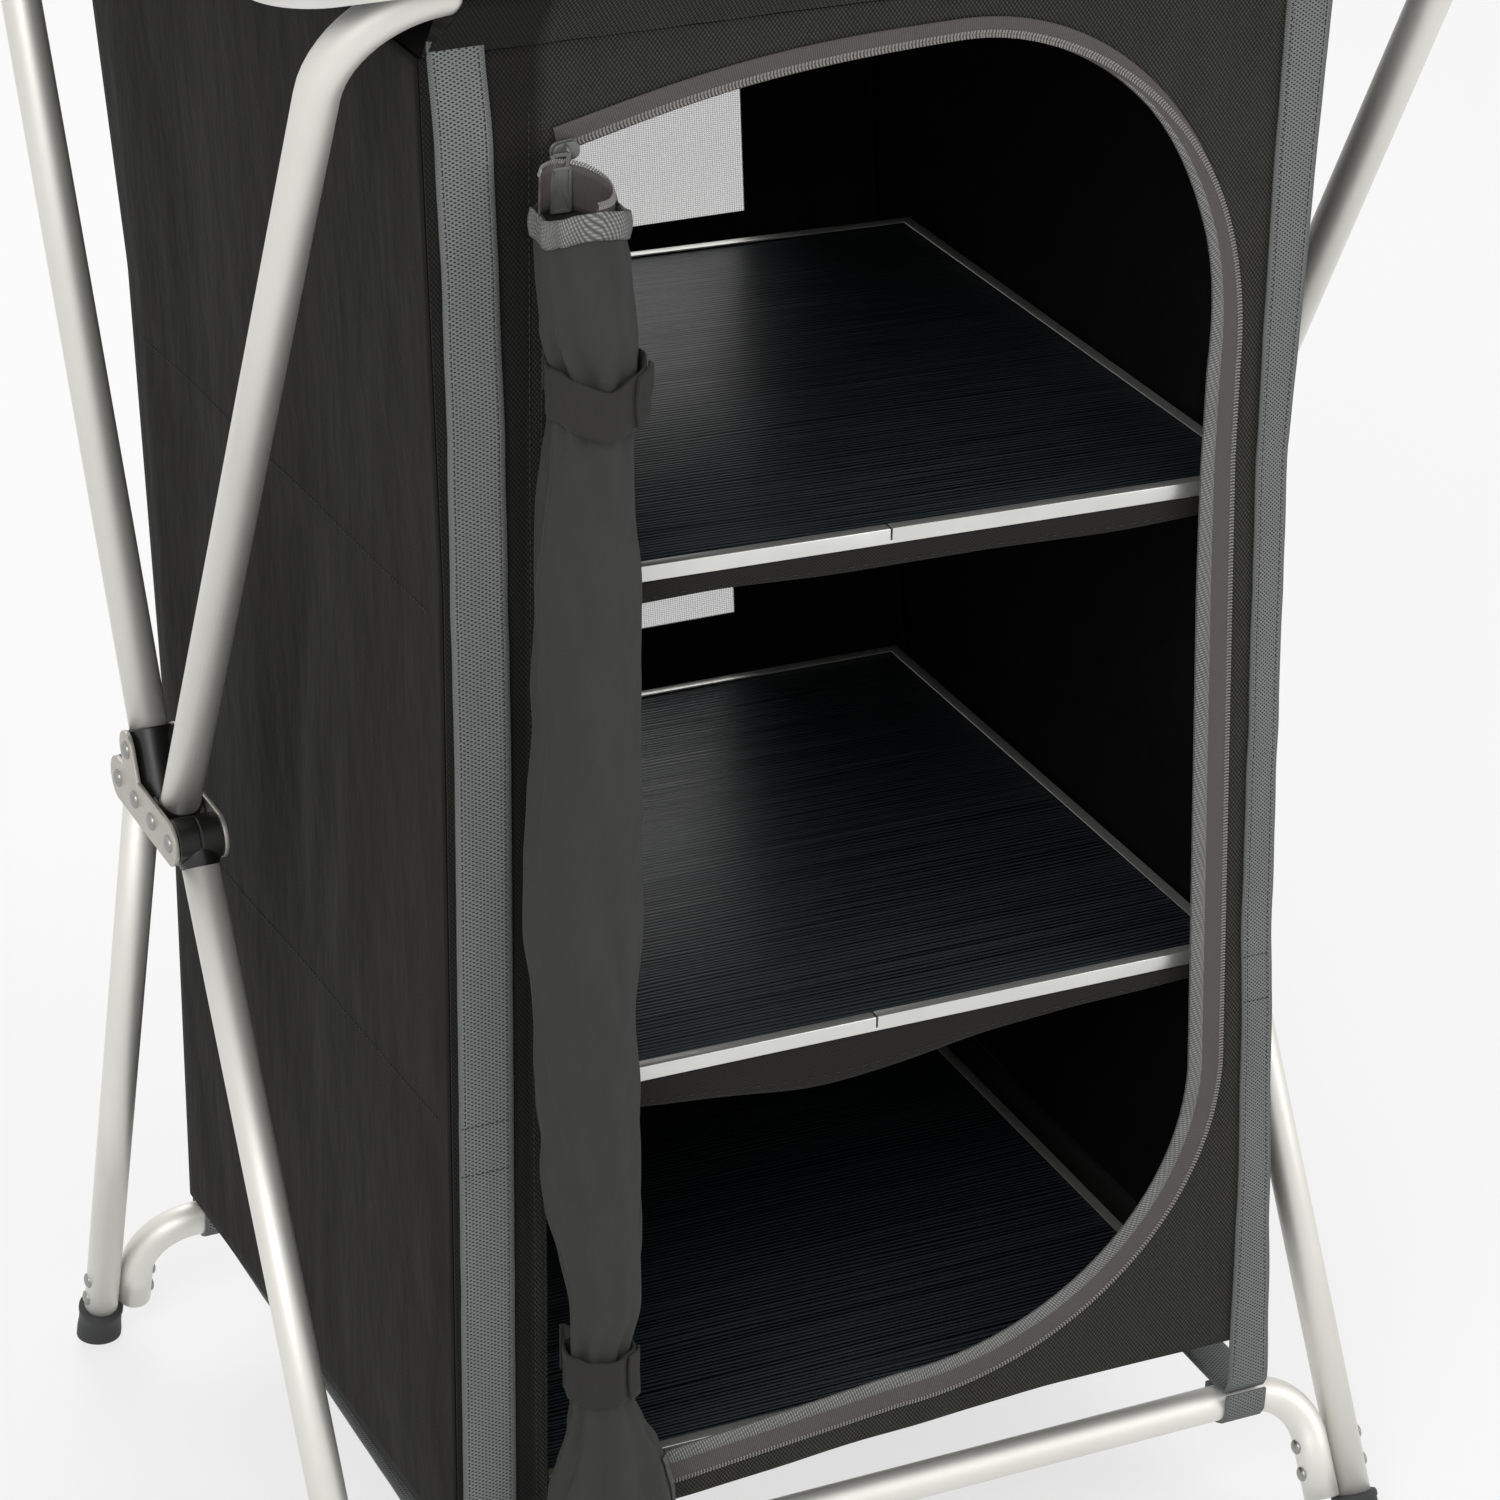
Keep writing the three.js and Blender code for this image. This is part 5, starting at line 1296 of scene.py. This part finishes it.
band("zip_tape_band", tape_section, TAPE, nodes=("zip_tape",), thickness=0.6)
band("zip_edge_binding", binding_section, BINDING)
band("zip_ridge", ridge_section, RIDGE)
band("zip_groove", groove_section, COIL_BED)
band("zip_coil_bed", coil_bed_section, COIL_BED)


def coil_teeth(spot, count, bulk):
    """Two rows of small slanted loops, which read as the zip's coil; bulk gives radius and length."""
    teeth = []
    for i in range(count):
        share = i / count
        centre, heading, outward = spot(share)
        radius, length = (size * MM for size in bulk(share))
        across = heading.cross(outward).normalized()
        for side in (-1, 1):
            bm = bmesh.new()
            bmesh.ops.create_cone(bm, cap_ends=True, segments=6, radius1=radius, radius2=radius * 0.8,
                                  depth=length / 2)
            slant = (across + heading * (0.3 * side)).normalized()
            turn = slant.to_track_quat("Z", "X").to_matrix().to_4x4()
            middle = centre + across * (side * length / 4)
            bmesh.ops.transform(bm, matrix=Matrix.Translation(middle) @ turn, verts=bm.verts)
            teeth.append(bm)
    return merged(teeth)


def zip_spot(share):
    place = share * ZIP_STEPS
    k = min(int(place), ZIP_STEPS - 1)
    x, z = (lerp(p, q, place - k) for p, q in zip(zip_path[k], zip_path[k + 1]))
    nx, nz = zip_normals[k]
    x, z = x + nx * coil_inset(share), z + nz * coil_inset(share)
    return at(x, front_y(z) - GAP - TEETH_STAND_OFF, z), Vector((-nz, 0, nx)), Vector((0, -1, 0))


def zip_bulk(share):
    flat = turned_over(share)
    return lerp(0.40, 0.52, flat), lerp(2.4, 3.4, flat)


zip_teeth = coil_teeth(zip_spot, int(zip_length / TEETH_PITCH) - 3, zip_bulk)
folding(finished("zip_teeth", zip_teeth, "box", COIL_PLASTIC, sharp=50))

# Slider and pull

SLIDER_RUN = OPENING_RIGHT - OPENING_TAPER - TOP_CORNER[0] - OPENING_LEFT
SLIDER_TURN = math.atan2(OPENING_HIGH - OPENING_LEFT_HIGH, SLIDER_RUN)
# Half width, thickness, half height and rounding of each slab, its (x, stand-off) and its segments
SLIDER_SLABS = (
    (6.3, 1.4, 4.4, 3.4, (0.0, 0.8), 6),
    (5.9, 1.8, 4.0, 3.6, (0.3, 2.6), 6),
    (2.6, 2.4, 2.6, 1.4, (-2.2, 1.8), 4),
)
BRIDGE_WIRE = 0.85
BRIDGE_RADIUS = 3.0
BRIDGE_STAND_OFF = 3.2
PULL_ASIDE = -4.4
TAB_THICKNESS = 1.9
TAB_BORDER = 0.9
TAB_DISH = 0.45
EYE_HEIGHT = 6.5
EYE_THICKNESS = 1.7
EYE_LEAN = 8.0
slider_low, slider_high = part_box("zip_slider")
pull_low, pull_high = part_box("zip_pull")


def rounded_slab(half_width, thickness, half_height, rounding, place, segments=4):
    """A plate with rounded corners and edges, its faces towards -Y and +Y."""
    bm = bmesh.new()
    sizes = Matrix.Diagonal((half_width * MM, thickness / 2 * MM, half_height * MM, 1.0))
    bmesh.ops.create_cube(bm, size=2.0, matrix=sizes)
    corners = [edge for edge in bm.edges if abs(edge.verts[0].co.y - edge.verts[1].co.y) > NEAR]
    bevelled(bm, corners, rounding, segments)
    bevelled(bm, hard_edges(bm, 60), min(thickness * 0.3, rounding * 0.5), 3)
    bmesh.ops.transform(bm, matrix=place, verts=bm.verts)
    return bm


def on_slider(x, stand_off):
    """Turns what is drawn about the origin to lie along the slider, in front of its tape."""
    face = front_y(OPENING_LEFT_HIGH) + BOX_TO_ROW_Y - 2 * GAP - TAPE_THICKNESS
    middle = (slider_low + slider_high) / 2
    middle.y = (face - stand_off) * MM
    turn = Matrix.Rotation(-SLIDER_TURN, 4, "Y")
    return Matrix.Translation(middle) @ turn @ Matrix.Translation((x * MM, 0, 0))


def slider_body():
    """Oval slabs over the tape, with the bridge that carries the pull."""
    slabs = [rounded_slab(*sizes, on_slider(*spot), segments) for *sizes, spot, segments in SLIDER_SLABS]
    bridge = bmesh.new()
    upright = Matrix.Translation((0, 0, BRIDGE_RADIUS * MM)) @ Matrix.Rotation(math.pi / 2, 4, "X")
    bmesh.ops.create_circle(bridge, cap_ends=False, segments=10, radius=BRIDGE_WIRE * MM, matrix=upright)
    bmesh.ops.spin(bridge, geom=bridge.verts[:] + bridge.edges[:], cent=(0, 0, 0), axis=(1, 0, 0),
                   dvec=(0, 0, 0), angle=math.pi, steps=14, use_merge=False, use_normal_flip=False,
                   use_duplicate=False)
    bmesh.ops.transform(bridge, matrix=on_slider(0, BRIDGE_STAND_OFF), verts=bridge.verts)
    return merged([*slabs, bridge])


def pull_tab():
    """A long tab with a raised border, hung from the slider by a narrower eye."""
    middle = Vector(((pull_low.x + pull_high.x) / 2, (pull_low.y + pull_high.y) / 2, 0))
    middle.x += PULL_ASIDE * MM
    half_width = (pull_high.x - pull_low.x) / 2 / MM + 0.5
    tab_top, tab_low = pull_high.z / MM - EYE_HEIGHT, pull_low.z / MM
    centre = middle + Vector((0, 0, (tab_top + tab_low) / 2 * MM))
    tab = rounded_slab(half_width, TAB_THICKNESS, (tab_top - tab_low) / 2, 0.9, Matrix.Translation(centre), 3)
    tab.normal_update()
    front = max((f for f in tab.faces if f.normal.y < -0.9), key=lambda f: f.calc_area())
    bmesh.ops.inset_region(tab, faces=[front], thickness=TAB_BORDER * MM, depth=0.0)
    bmesh.ops.inset_region(tab, faces=[front], thickness=0.25 * MM, depth=-TAB_DISH * MM)
    eye_bars = []
    for side in (-1, 1):
        spot = middle + Vector((side * (half_width - 1.6) * MM, 0, (tab_top + 2.2) * MM))
        lean = Matrix.Rotation(math.radians(EYE_LEAN * side), 4, "Y")
        eye_bars.append(rounded_slab(1.0, EYE_THICKNESS, 3.4, 0.6, Matrix.Translation(spot) @ lean, 2))
    bow = middle + Vector((0, 0, (pull_high.z / MM - 1.4) * MM))
    eye_bars.append(rounded_slab(half_width - 1.4, EYE_THICKNESS, 0.9, 0.7, Matrix.Translation(bow), 3))
    return merged([tab, *eye_bars])


folding(finished("slider_cap", slider_body(), "slider", ZIP_METAL, ("zip_slider",), sharp=50))
folding(finished("pull_tab", pull_tab(), "pull", ZIP_METAL, ("zip_pull",), sharp=45))

# Rolled door

# Height, middle X and half width of the roll, from its flared foot up to its open mouth
ROLL_SHAPE = [
    (99, -143, 32), (131, -146, 30.5), (146, -147, 27.5), (160, -147.7, 23), (174, -150.3, 18),
    (188, -151.6, 14.5), (203, -153, 12.5), (217, -153.6, 12.5), (243, -151.3, 16), (270, -152, 19),
    (297, -154.7, 21), (324, -157.4, 22.2), (350, -158.8, 23), (402, -160.2, 24.2), (440, -161.7, 25.6),
    (477, -161, 24.8), (501, -160.3, 23.8), (549, -159.5, 22.9), (596, -159.5, 22.6), (643, -159.6, 20.6),
    (666, -159.4, 19), (678, -158.4, 18), (690, -157, 17.2), (706, -157.6, 17.5), (714, -159.5, 19),
    (724, -161.7, 20.4), (753, -164.4, 19.4), (764, -166, 18.4), (774, -166, 18.8), (800, -167, 19),
]


# How far the roll is gathered above and below each tie, and down to its foot
UPPER_GATHER = 34.0
LOWER_GATHER = 38.0
FOOT_GATHER = 80.0
MOUTH_RISE = 3.0
RIM_HEIGHT = 12.0
RIM_LENGTH = 92.0
WOUND_TAPE_HEIGHT = 20.0
WOUND_TAPE_LENGTH = 85.0
BINDING_THICKNESS = 0.8
DOOR_TEETH = 56
# Height of each tie, how far its middle dips, its width and how far its loose end stands out
TIES = {"upper": (UPPER_TIE, 10.0, 23.0, 3.0), "lower": (LOWER_TIE, 3.0, 24.0, 0.0)}


def roll_centre_y(z):
    return front_y(z) - GAP - TAPE_THICKNESS - ROLL_STAND_OFF - ROLL_HALF_DEPTH


def near_tie(z):
    lower_gather = FOOT_GATHER if z < LOWER_TIE else LOWER_GATHER
    return max(math.exp(-((z - UPPER_TIE) / UPPER_GATHER) ** 2),
               math.exp(-((z - LOWER_TIE) / lower_gather) ** 2))


def roll_point(turn, z, grow=0.0, calm=False):
    """A place on the roll's skin, grow mm outside it; calm leaves most of its pleats out."""
    gather = near_tie(z)
    middle, half = table_at(ROLL_SHAPE, z)
    round_x, round_y = math.cos(turn), math.sin(turn)
    broad = 0.03 * math.sin(2 * turn + z * 0.006) + 0.08 * ripple(round_x * 1.3, round_y * 1.3, z * 0.008)
    pleats = (0.015 + 0.10 * gather) * math.sin(8 * turn + 2.2 * math.sin(z * 0.017) + z * 0.004)
    slants = 0.13 * ripple(round_x * 2.2 + z * 0.016, round_y * 2.2, z * 0.019)
    shape = 1 + (0.3 if calm else 1.0) * (broad + pleats + slants)
    flat = lerp(0.82, 0.55, soft_step(728, 768, z))
    half_width = half * shape + grow
    half_depth = ROLL_HALF_DEPTH * min(0.4 + 0.6 * half / 22.0, 1.0) * shape * 0.95 + grow
    x = middle + half_width * math.copysign(abs(round_x) ** flat, round_x)
    y = roll_centre_y(z) + half_depth * math.copysign(abs(round_y) ** flat, round_y)
    return at(x, y, z)


def mouth_height(turn):
    """The rolled edge runs level across the front and dips a little at both sides."""
    return ROLL_TOP + MOUTH_RISE + 2.6 * math.sin(turn) ** 2 + 0.5 * math.sin(3 * turn)


def mouth_point(turn, z, shrink):
    """A place inside the roll's mouth, on a turn of the wound door."""
    middle, half = table_at(ROLL_SHAPE, ROLL_TOP)
    x = middle + half * shrink * math.cos(turn)
    y = roll_centre_y(z) + ROLL_HALF_DEPTH * shrink * 0.9 * math.sin(turn)
    return at(x, y, z)


def wound_edge(share):
    """Turn, height and shrink of the wound tape edge, from the slider round the back to the front."""
    return (math.radians(lerp(175, -75, share)), lerp(793, 779, soft_step(0.2, 0.9, share)),
            lerp(0.93, 0.72, share))


def rolled_cloth():
    def place(u, v):
        turn = 2 * math.pi * u
        return roll_point(turn, lerp(ROLL_BOTTOM + 4.0 * math.sin(turn + 0.6), mouth_height(turn), v))

    bm = grid(112, 210, place)
    bmesh.ops.remove_doubles(bm, verts=bm.verts, dist=WELD * MM)
    door = finished("rolled_door_cloth", bm, "box", LINING, ("rolled_door",), sharp=75,
                    modifiers=[thick(1.2, -1.0)])
    folding(door)


def door_bindings():
    def foot_edge(u, v):
        return roll_point(math.radians(lerp(-16, 4, u)), lerp(101, 152, v), 0.7)

    folding(finished("door_foot_binding", grid(4, 30, foot_edge), "box", BINDING, sharp=70,
                     modifiers=[thick(BINDING_THICKNESS, 0.0)], recalculate=False))

    def front_rim(u, v):
        turn = math.radians(lerp(-205, 30, u))
        drop = lerp(11.5, -0.8, v)
        bulge = 0.7 + 0.8 * math.sin(math.pi * v) + 0.2 * math.sin(12 * turn) * (1 - v)
        return roll_point(turn, mouth_height(turn) - drop, bulge)

    rim = mapped(grid(90, 8, front_rim), lambda u, v: (v * RIM_HEIGHT, u * RIM_LENGTH))
    folding(finished("door_rim_binding", rim, "box", BINDING, sharp=70,
                     modifiers=[thick(BINDING_THICKNESS, 0.0)]))


def door_mouth():
    """What shows in the roll's mouth: the wound tape with its teeth and the turns of cloth."""
    def tape_turn(u, v):
        turn, top, shrink = wound_edge(u)
        return mouth_point(turn, top - lerp(WOUND_TAPE_HEIGHT, 0, v), shrink)

    tape = mapped(grid(80, 6, tape_turn), lambda u, v: (v * WOUND_TAPE_HEIGHT, u * WOUND_TAPE_LENGTH))
    folding(finished("door_wound_tape", tape, "box", TAPE, sharp=80,
                     modifiers=[thick(BINDING_THICKNESS, 0.0)], recalculate=False))

    def coil_along(share):
        turn, top, shrink = wound_edge(share)
        ahead_turn, ahead_top, ahead_shrink = wound_edge(share + 0.01)
        spot = mouth_point(turn, top + 0.6, shrink)
        heading = (mouth_point(ahead_turn, ahead_top + 0.6, ahead_shrink) - spot).normalized()
        return spot, heading, Vector((math.cos(turn), math.sin(turn), 0.35)).normalized()

    teeth = coil_teeth(coil_along, DOOR_TEETH, lambda share: (0.5, 3.2))
    folding(finished("door_edge_teeth", teeth, "box", COIL_PLASTIC, sharp=50))

    def deep_turn(u, v):
        turn = math.radians(lerp(150, -420, u))
        return mouth_point(turn, lerp(ROLL_TOP - 42, ROLL_TOP - 4 - 8 * u, v), lerp(0.84, 0.4, u))

    folding(finished("door_inner_turns", grid(120, 14, deep_turn), "box", LINING, sharp=80,
                     modifiers=[thick(0.9, 0.0)], recalculate=False))


def tie(name, node, height, dip, band_width, end_reach):
    """A band round the roll that dips at its middle, with a loose end and a tongue sewn to the door."""
    def band_point(turn, v, grow):
        slope = dip * (abs(math.cos(turn)) - 1.0)
        z = height + slope + lerp(-band_width / 2, band_width / 2, v)
        pucker = 0.4 * math.sin(8 * turn) * math.sin(math.pi * v) + 0.4 * ripple(turn * 1.5, v * 3, height)
        spread = grow + 0.5 * (1 - math.sin(math.pi * v)) + pucker
        on_roll = roll_point(turn, lerp(height, z, 0.5), spread, calm=True)
        return Vector((on_roll.x, on_roll.y, z * MM))

    bm = grid(96, 10, lambda u, v: band_point(2 * math.pi * u, v, 3.0))
    bmesh.ops.remove_doubles(bm, verts=bm.verts, dist=WELD * MM)
    folding(finished(name, bm, "box", TIE_CLOTH, (node,), sharp=70, modifiers=[thick(1.2, 0.0)]))

    def loose_end(u, v):
        turn = math.radians(lerp(-60, 4, u))
        narrow = lerp(1.0, 0.35, soft_step(0.5, 1.0, u))
        spot = band_point(turn, 0.5 + (v - 0.5) * narrow, 4.8)
        out = end_reach * soft_step(0.55, 1.0, u)
        return spot + Vector((out, -0.3 * out, 0.35 * out)) * MM

    folding(finished(f"{name}_end", grid(24, 8, loose_end), "box", TIE_CLOTH, sharp=70,
                     modifiers=[thick(1.1, 0.0)], recalculate=False))

    def tongue(u, v):
        z = height + dip * 0.4 * (1 - u) + lerp(-band_width / 2, band_width / 2, v)
        middle, half = table_at(ROLL_SHAPE, height)
        x = lerp(middle - half * 0.9, middle - half * 0.3, u)
        y = lerp(front_y(z) - 1.6, roll_centre_y(z) + 6, soft_step(0.3, 1.0, u))
        return at(x, y, z)

    folding(finished(f"{name}_tongue", grid(20, 8, tongue), "box", TIE_CLOTH, sharp=70,
                     modifiers=[thick(1.2, 0.0)], recalculate=False))


rolled_cloth()
door_bindings()
door_mouth()
for name, sizes in TIES.items():
    tie(f"{name}_tie_band", f"{name}_door_tie", *sizes)

# Shelves

# How far the left and the right end of each shelf sit above the level they were drawn at
SHELF_LIFTS = {"floor_shelf": (0.0, 0.0), "middle_shelf": (7.0, 5.0), "upper_shelf": (11.0, 2.5)}
# Depth of each valance at its ends, how much deeper its belly hangs and the X of that belly
VALANCES = {"middle_shelf": (8.0, 14.0, -25.0), "upper_shelf": (9.0, 1.5, 60.0)}
BELLY_REACH = 85.0
HEM_SHARE = 0.78
HEM_THREADS = 60
HEM_THREAD = (4.0, 0.5, 0.4)


def shelf_lift(name):
    left, right = SHELF_LIFTS[name]
    return lambda x: lerp(left, right, (x - INSIDE_LEFT) / (INSIDE_RIGHT - INSIDE_LEFT))


def sling(name):
    """The cloth that carries a shelf, and the height of its top."""
    top = SHELF_TOPS[name]
    high = top - SHELF_THICKNESS - GAP
    lift = shelf_lift(name)

    def under(u, v):
        x, y = lerp(INSIDE_LEFT, INSIDE_RIGHT, u), lerp(SHELF_FRONT + 2, SHELF_REAR, v)
        return at(x, y, high + lift(x) - 0.1 - 0.5 * ripple(u * 6, v * 6, top) ** 2)

    piece = finished(f"{name}_sling_cloth", grid(40, 36, under), name, LEVEL_CLOTH,
                     (f"{name}_sling",), sharp=80, modifiers=[thick(SLING_THICKNESS, -1.0)],
                     recalculate=False)
    return high


def valance(name, edge_drop, belly, belly_x):
    """A sling and the front edge that hangs from it, deepest at its belly."""
    high = sling(name)
    top = SHELF_TOPS[name]
    lift = shelf_lift(name)

    def front(u, v):
        x = lerp(INSIDE_RIGHT, INSIDE_LEFT, u)
        hanging = edge_drop + belly * math.exp(-((x - belly_x) / BELLY_REACH) ** 2)
        depth = hanging + 1.5 * ripple(u * 7, 0.3, top)
        swell = (1.8 * ripple(u * 8, v * 1.2, top + 3) + 0.6 * math.sin(u * 22)) * v
        return at(x, SHELF_FRONT + 0.6 + min(max(swell, -1.5), 3.0), high + lift(x) - depth * v)

    finished(f"{name}_valance", grid(120, 10, front), name, VALANCE_CLOTH, sharp=80,
             modifiers=[thick(SLING_THICKNESS, 0.0)], recalculate=False)
    hem = [front(i / HEM_THREADS, HEM_SHARE) - Vector((0, 0.8 * MM, 0)) for i in range(HEM_THREADS + 1)]
    threads = [thread((a + b) / 2, (b - a).normalized(), HEM_THREAD) for a, b in zip(hem, hem[1:])]
    finished(f"{name}_hem_stitches", merged(threads), name, THREAD, sharp=80)


for name in SHELF_TOPS:
    for hand in SIDES:
        eased_copy(f"{name}_{hand}_laminate", f"{name}_{hand}_board", name, LAMINATE, 0.3,
                   lift=shelf_lift(name), abutting=True)
    eased_copy(f"{name}_edge", f"{name}_trim", name, TRIM, 0.5, lift=shelf_lift(name))
for name, sizes in VALANCES.items():
    valance(name, *sizes)

# Worktop

eased_copy("worktop_laminate", "worktop_board", "worktop", LAMINATE, 0.6)
eased_copy("worktop_edge", "worktop_rim", "worktop", TRIM, 1.5, segments=4)

# Floor, light and camera

FLOOR_HALF_SIZE = 12.0
FLOOR_DROP = 0.0002
FLOOR_PAINT = 0.8
FLOOR_SHADE = 0.3
FLOOR_GLOW = 0.68
WORLD_STRENGTH = 0.55
WORLD_SEEN = 0.93
# Place, target, size in metres and power of each lamp
LAMPS = {
    "key": ((-1.8, -2.2, 2.3), (0, 0, 0.45), 1.6, 42),
    "fill": ((2.3, -1.9, 1.5), (0, 0, 0.4), 1.8, 22),
    "back": ((0.6, 2.4, 2.4), (0, 0, 0.5), 1.6, 26),
}
CAMERA_PLACE = (-887.0, -1927.0, 1448.0)
CAMERA_YAW = 25.32
CAMERA_PITCH = -26.70
CAMERA_ROLL = 0.954
CAMERA_SENSOR = 36.0
CAMERA_LENS = 115.8
CAMERA_SHIFT_SHARES = (-0.005, 0.0187)
CAMERA_CLIP = (0.05, 60.0)


def grey_node(tree, kind, value):
    node = tree.nodes.new(kind)
    node.inputs["Color"].default_value = (value, value, value, 1.0)
    return node


def lit_or_seen(tree, lit, seen, output):
    """Camera and glossy rays meet the seen shader, all other rays the lit one."""
    rays = tree.nodes.new("ShaderNodeLightPath")
    either = tree.nodes.new("ShaderNodeMath")
    either.operation = "MAXIMUM"
    choice = tree.nodes.new("ShaderNodeMixShader")
    surface = tree.nodes.new(output).inputs["Surface"]
    links = (
        (rays.outputs["Is Camera Ray"], either.inputs[0]),
        (rays.outputs["Is Glossy Ray"], either.inputs[1]),
        (either.outputs[0], choice.inputs[0]),
        (lit.outputs[0], choice.inputs[1]),
        (seen.outputs[0], choice.inputs[2]),
        (choice.outputs[0], surface),
    )
    for source, target in links:
        tree.links.new(source, target)


def soft_floor():
    bm = bmesh.new()
    bmesh.ops.create_grid(bm, x_segments=1, y_segments=1, size=FLOOR_HALF_SIZE)
    mesh = bpy.data.meshes.new("floor")
    bm.to_mesh(mesh)
    bm.free()
    floor = bpy.data.objects.new("floor", mesh)
    floor.location.z = -FLOOR_DROP
    bpy.context.scene.collection.objects.link(floor)
    material = bpy.data.materials.new("pale_floor")
    material.use_nodes = True
    tree = material.node_tree
    tree.nodes.clear()
    paint = grey_node(tree, "ShaderNodeBsdfDiffuse", FLOOR_PAINT)
    shade = grey_node(tree, "ShaderNodeBsdfDiffuse", FLOOR_SHADE)
    glow = grey_node(tree, "ShaderNodeEmission", FLOOR_GLOW)
    both = tree.nodes.new("ShaderNodeAddShader")
    tree.links.new(shade.outputs[0], both.inputs[0])
    tree.links.new(glow.outputs[0], both.inputs[1])
    lit_or_seen(tree, paint, both, "ShaderNodeOutputMaterial")
    mesh.materials.append(material)


def pale_world():
    world = bpy.data.worlds.new("studio")
    bpy.context.scene.world = world
    world.use_nodes = True
    tree = world.node_tree
    tree.nodes.clear()
    plain = grey_node(tree, "ShaderNodeBackground", 1.0)
    plain.inputs["Strength"].default_value = WORLD_STRENGTH
    lit_or_seen(tree, plain, grey_node(tree, "ShaderNodeBackground", WORLD_SEEN), "ShaderNodeOutputWorld")


def soft_lamp(name, spot, target, size, watts):
    lamp = bpy.data.lights.new(name, "AREA")
    lamp.shape = "SQUARE"
    lamp.size = size
    lamp.energy = watts
    holder = bpy.data.objects.new(name, lamp)
    holder.location = spot
    holder.rotation_euler = (Vector(target) - Vector(spot)).to_track_quat("-Z", "Y").to_euler()
    bpy.context.scene.collection.objects.link(holder)


def set_camera():
    lens = bpy.data.cameras.new("camera")
    lens.sensor_width = CAMERA_SENSOR
    lens.sensor_fit = "HORIZONTAL"
    lens.lens = CAMERA_LENS
    lens.shift_x, lens.shift_y = CAMERA_SHIFT_SHARES
    lens.clip_start, lens.clip_end = CAMERA_CLIP
    camera = bpy.data.objects.new("camera", lens)
    yaw, pitch = math.radians(CAMERA_YAW), math.radians(CAMERA_PITCH)
    forward = Vector((math.sin(yaw) * math.cos(pitch), math.cos(yaw) * math.cos(pitch), math.sin(pitch)))
    aim = forward.to_track_quat("-Z", "Y").to_matrix() @ Matrix.Rotation(math.radians(CAMERA_ROLL), 3, "Z")
    camera.matrix_world = Matrix.Translation(at(*CAMERA_PLACE)) @ aim.to_4x4()
    bpy.context.scene.collection.objects.link(camera)
    bpy.context.scene.camera = camera


soft_floor()
pale_world()
for name, settings in LAMPS.items():
    soft_lamp(name, *settings)
set_camera()
bpy.context.scene.view_settings.view_transform = "Standard"
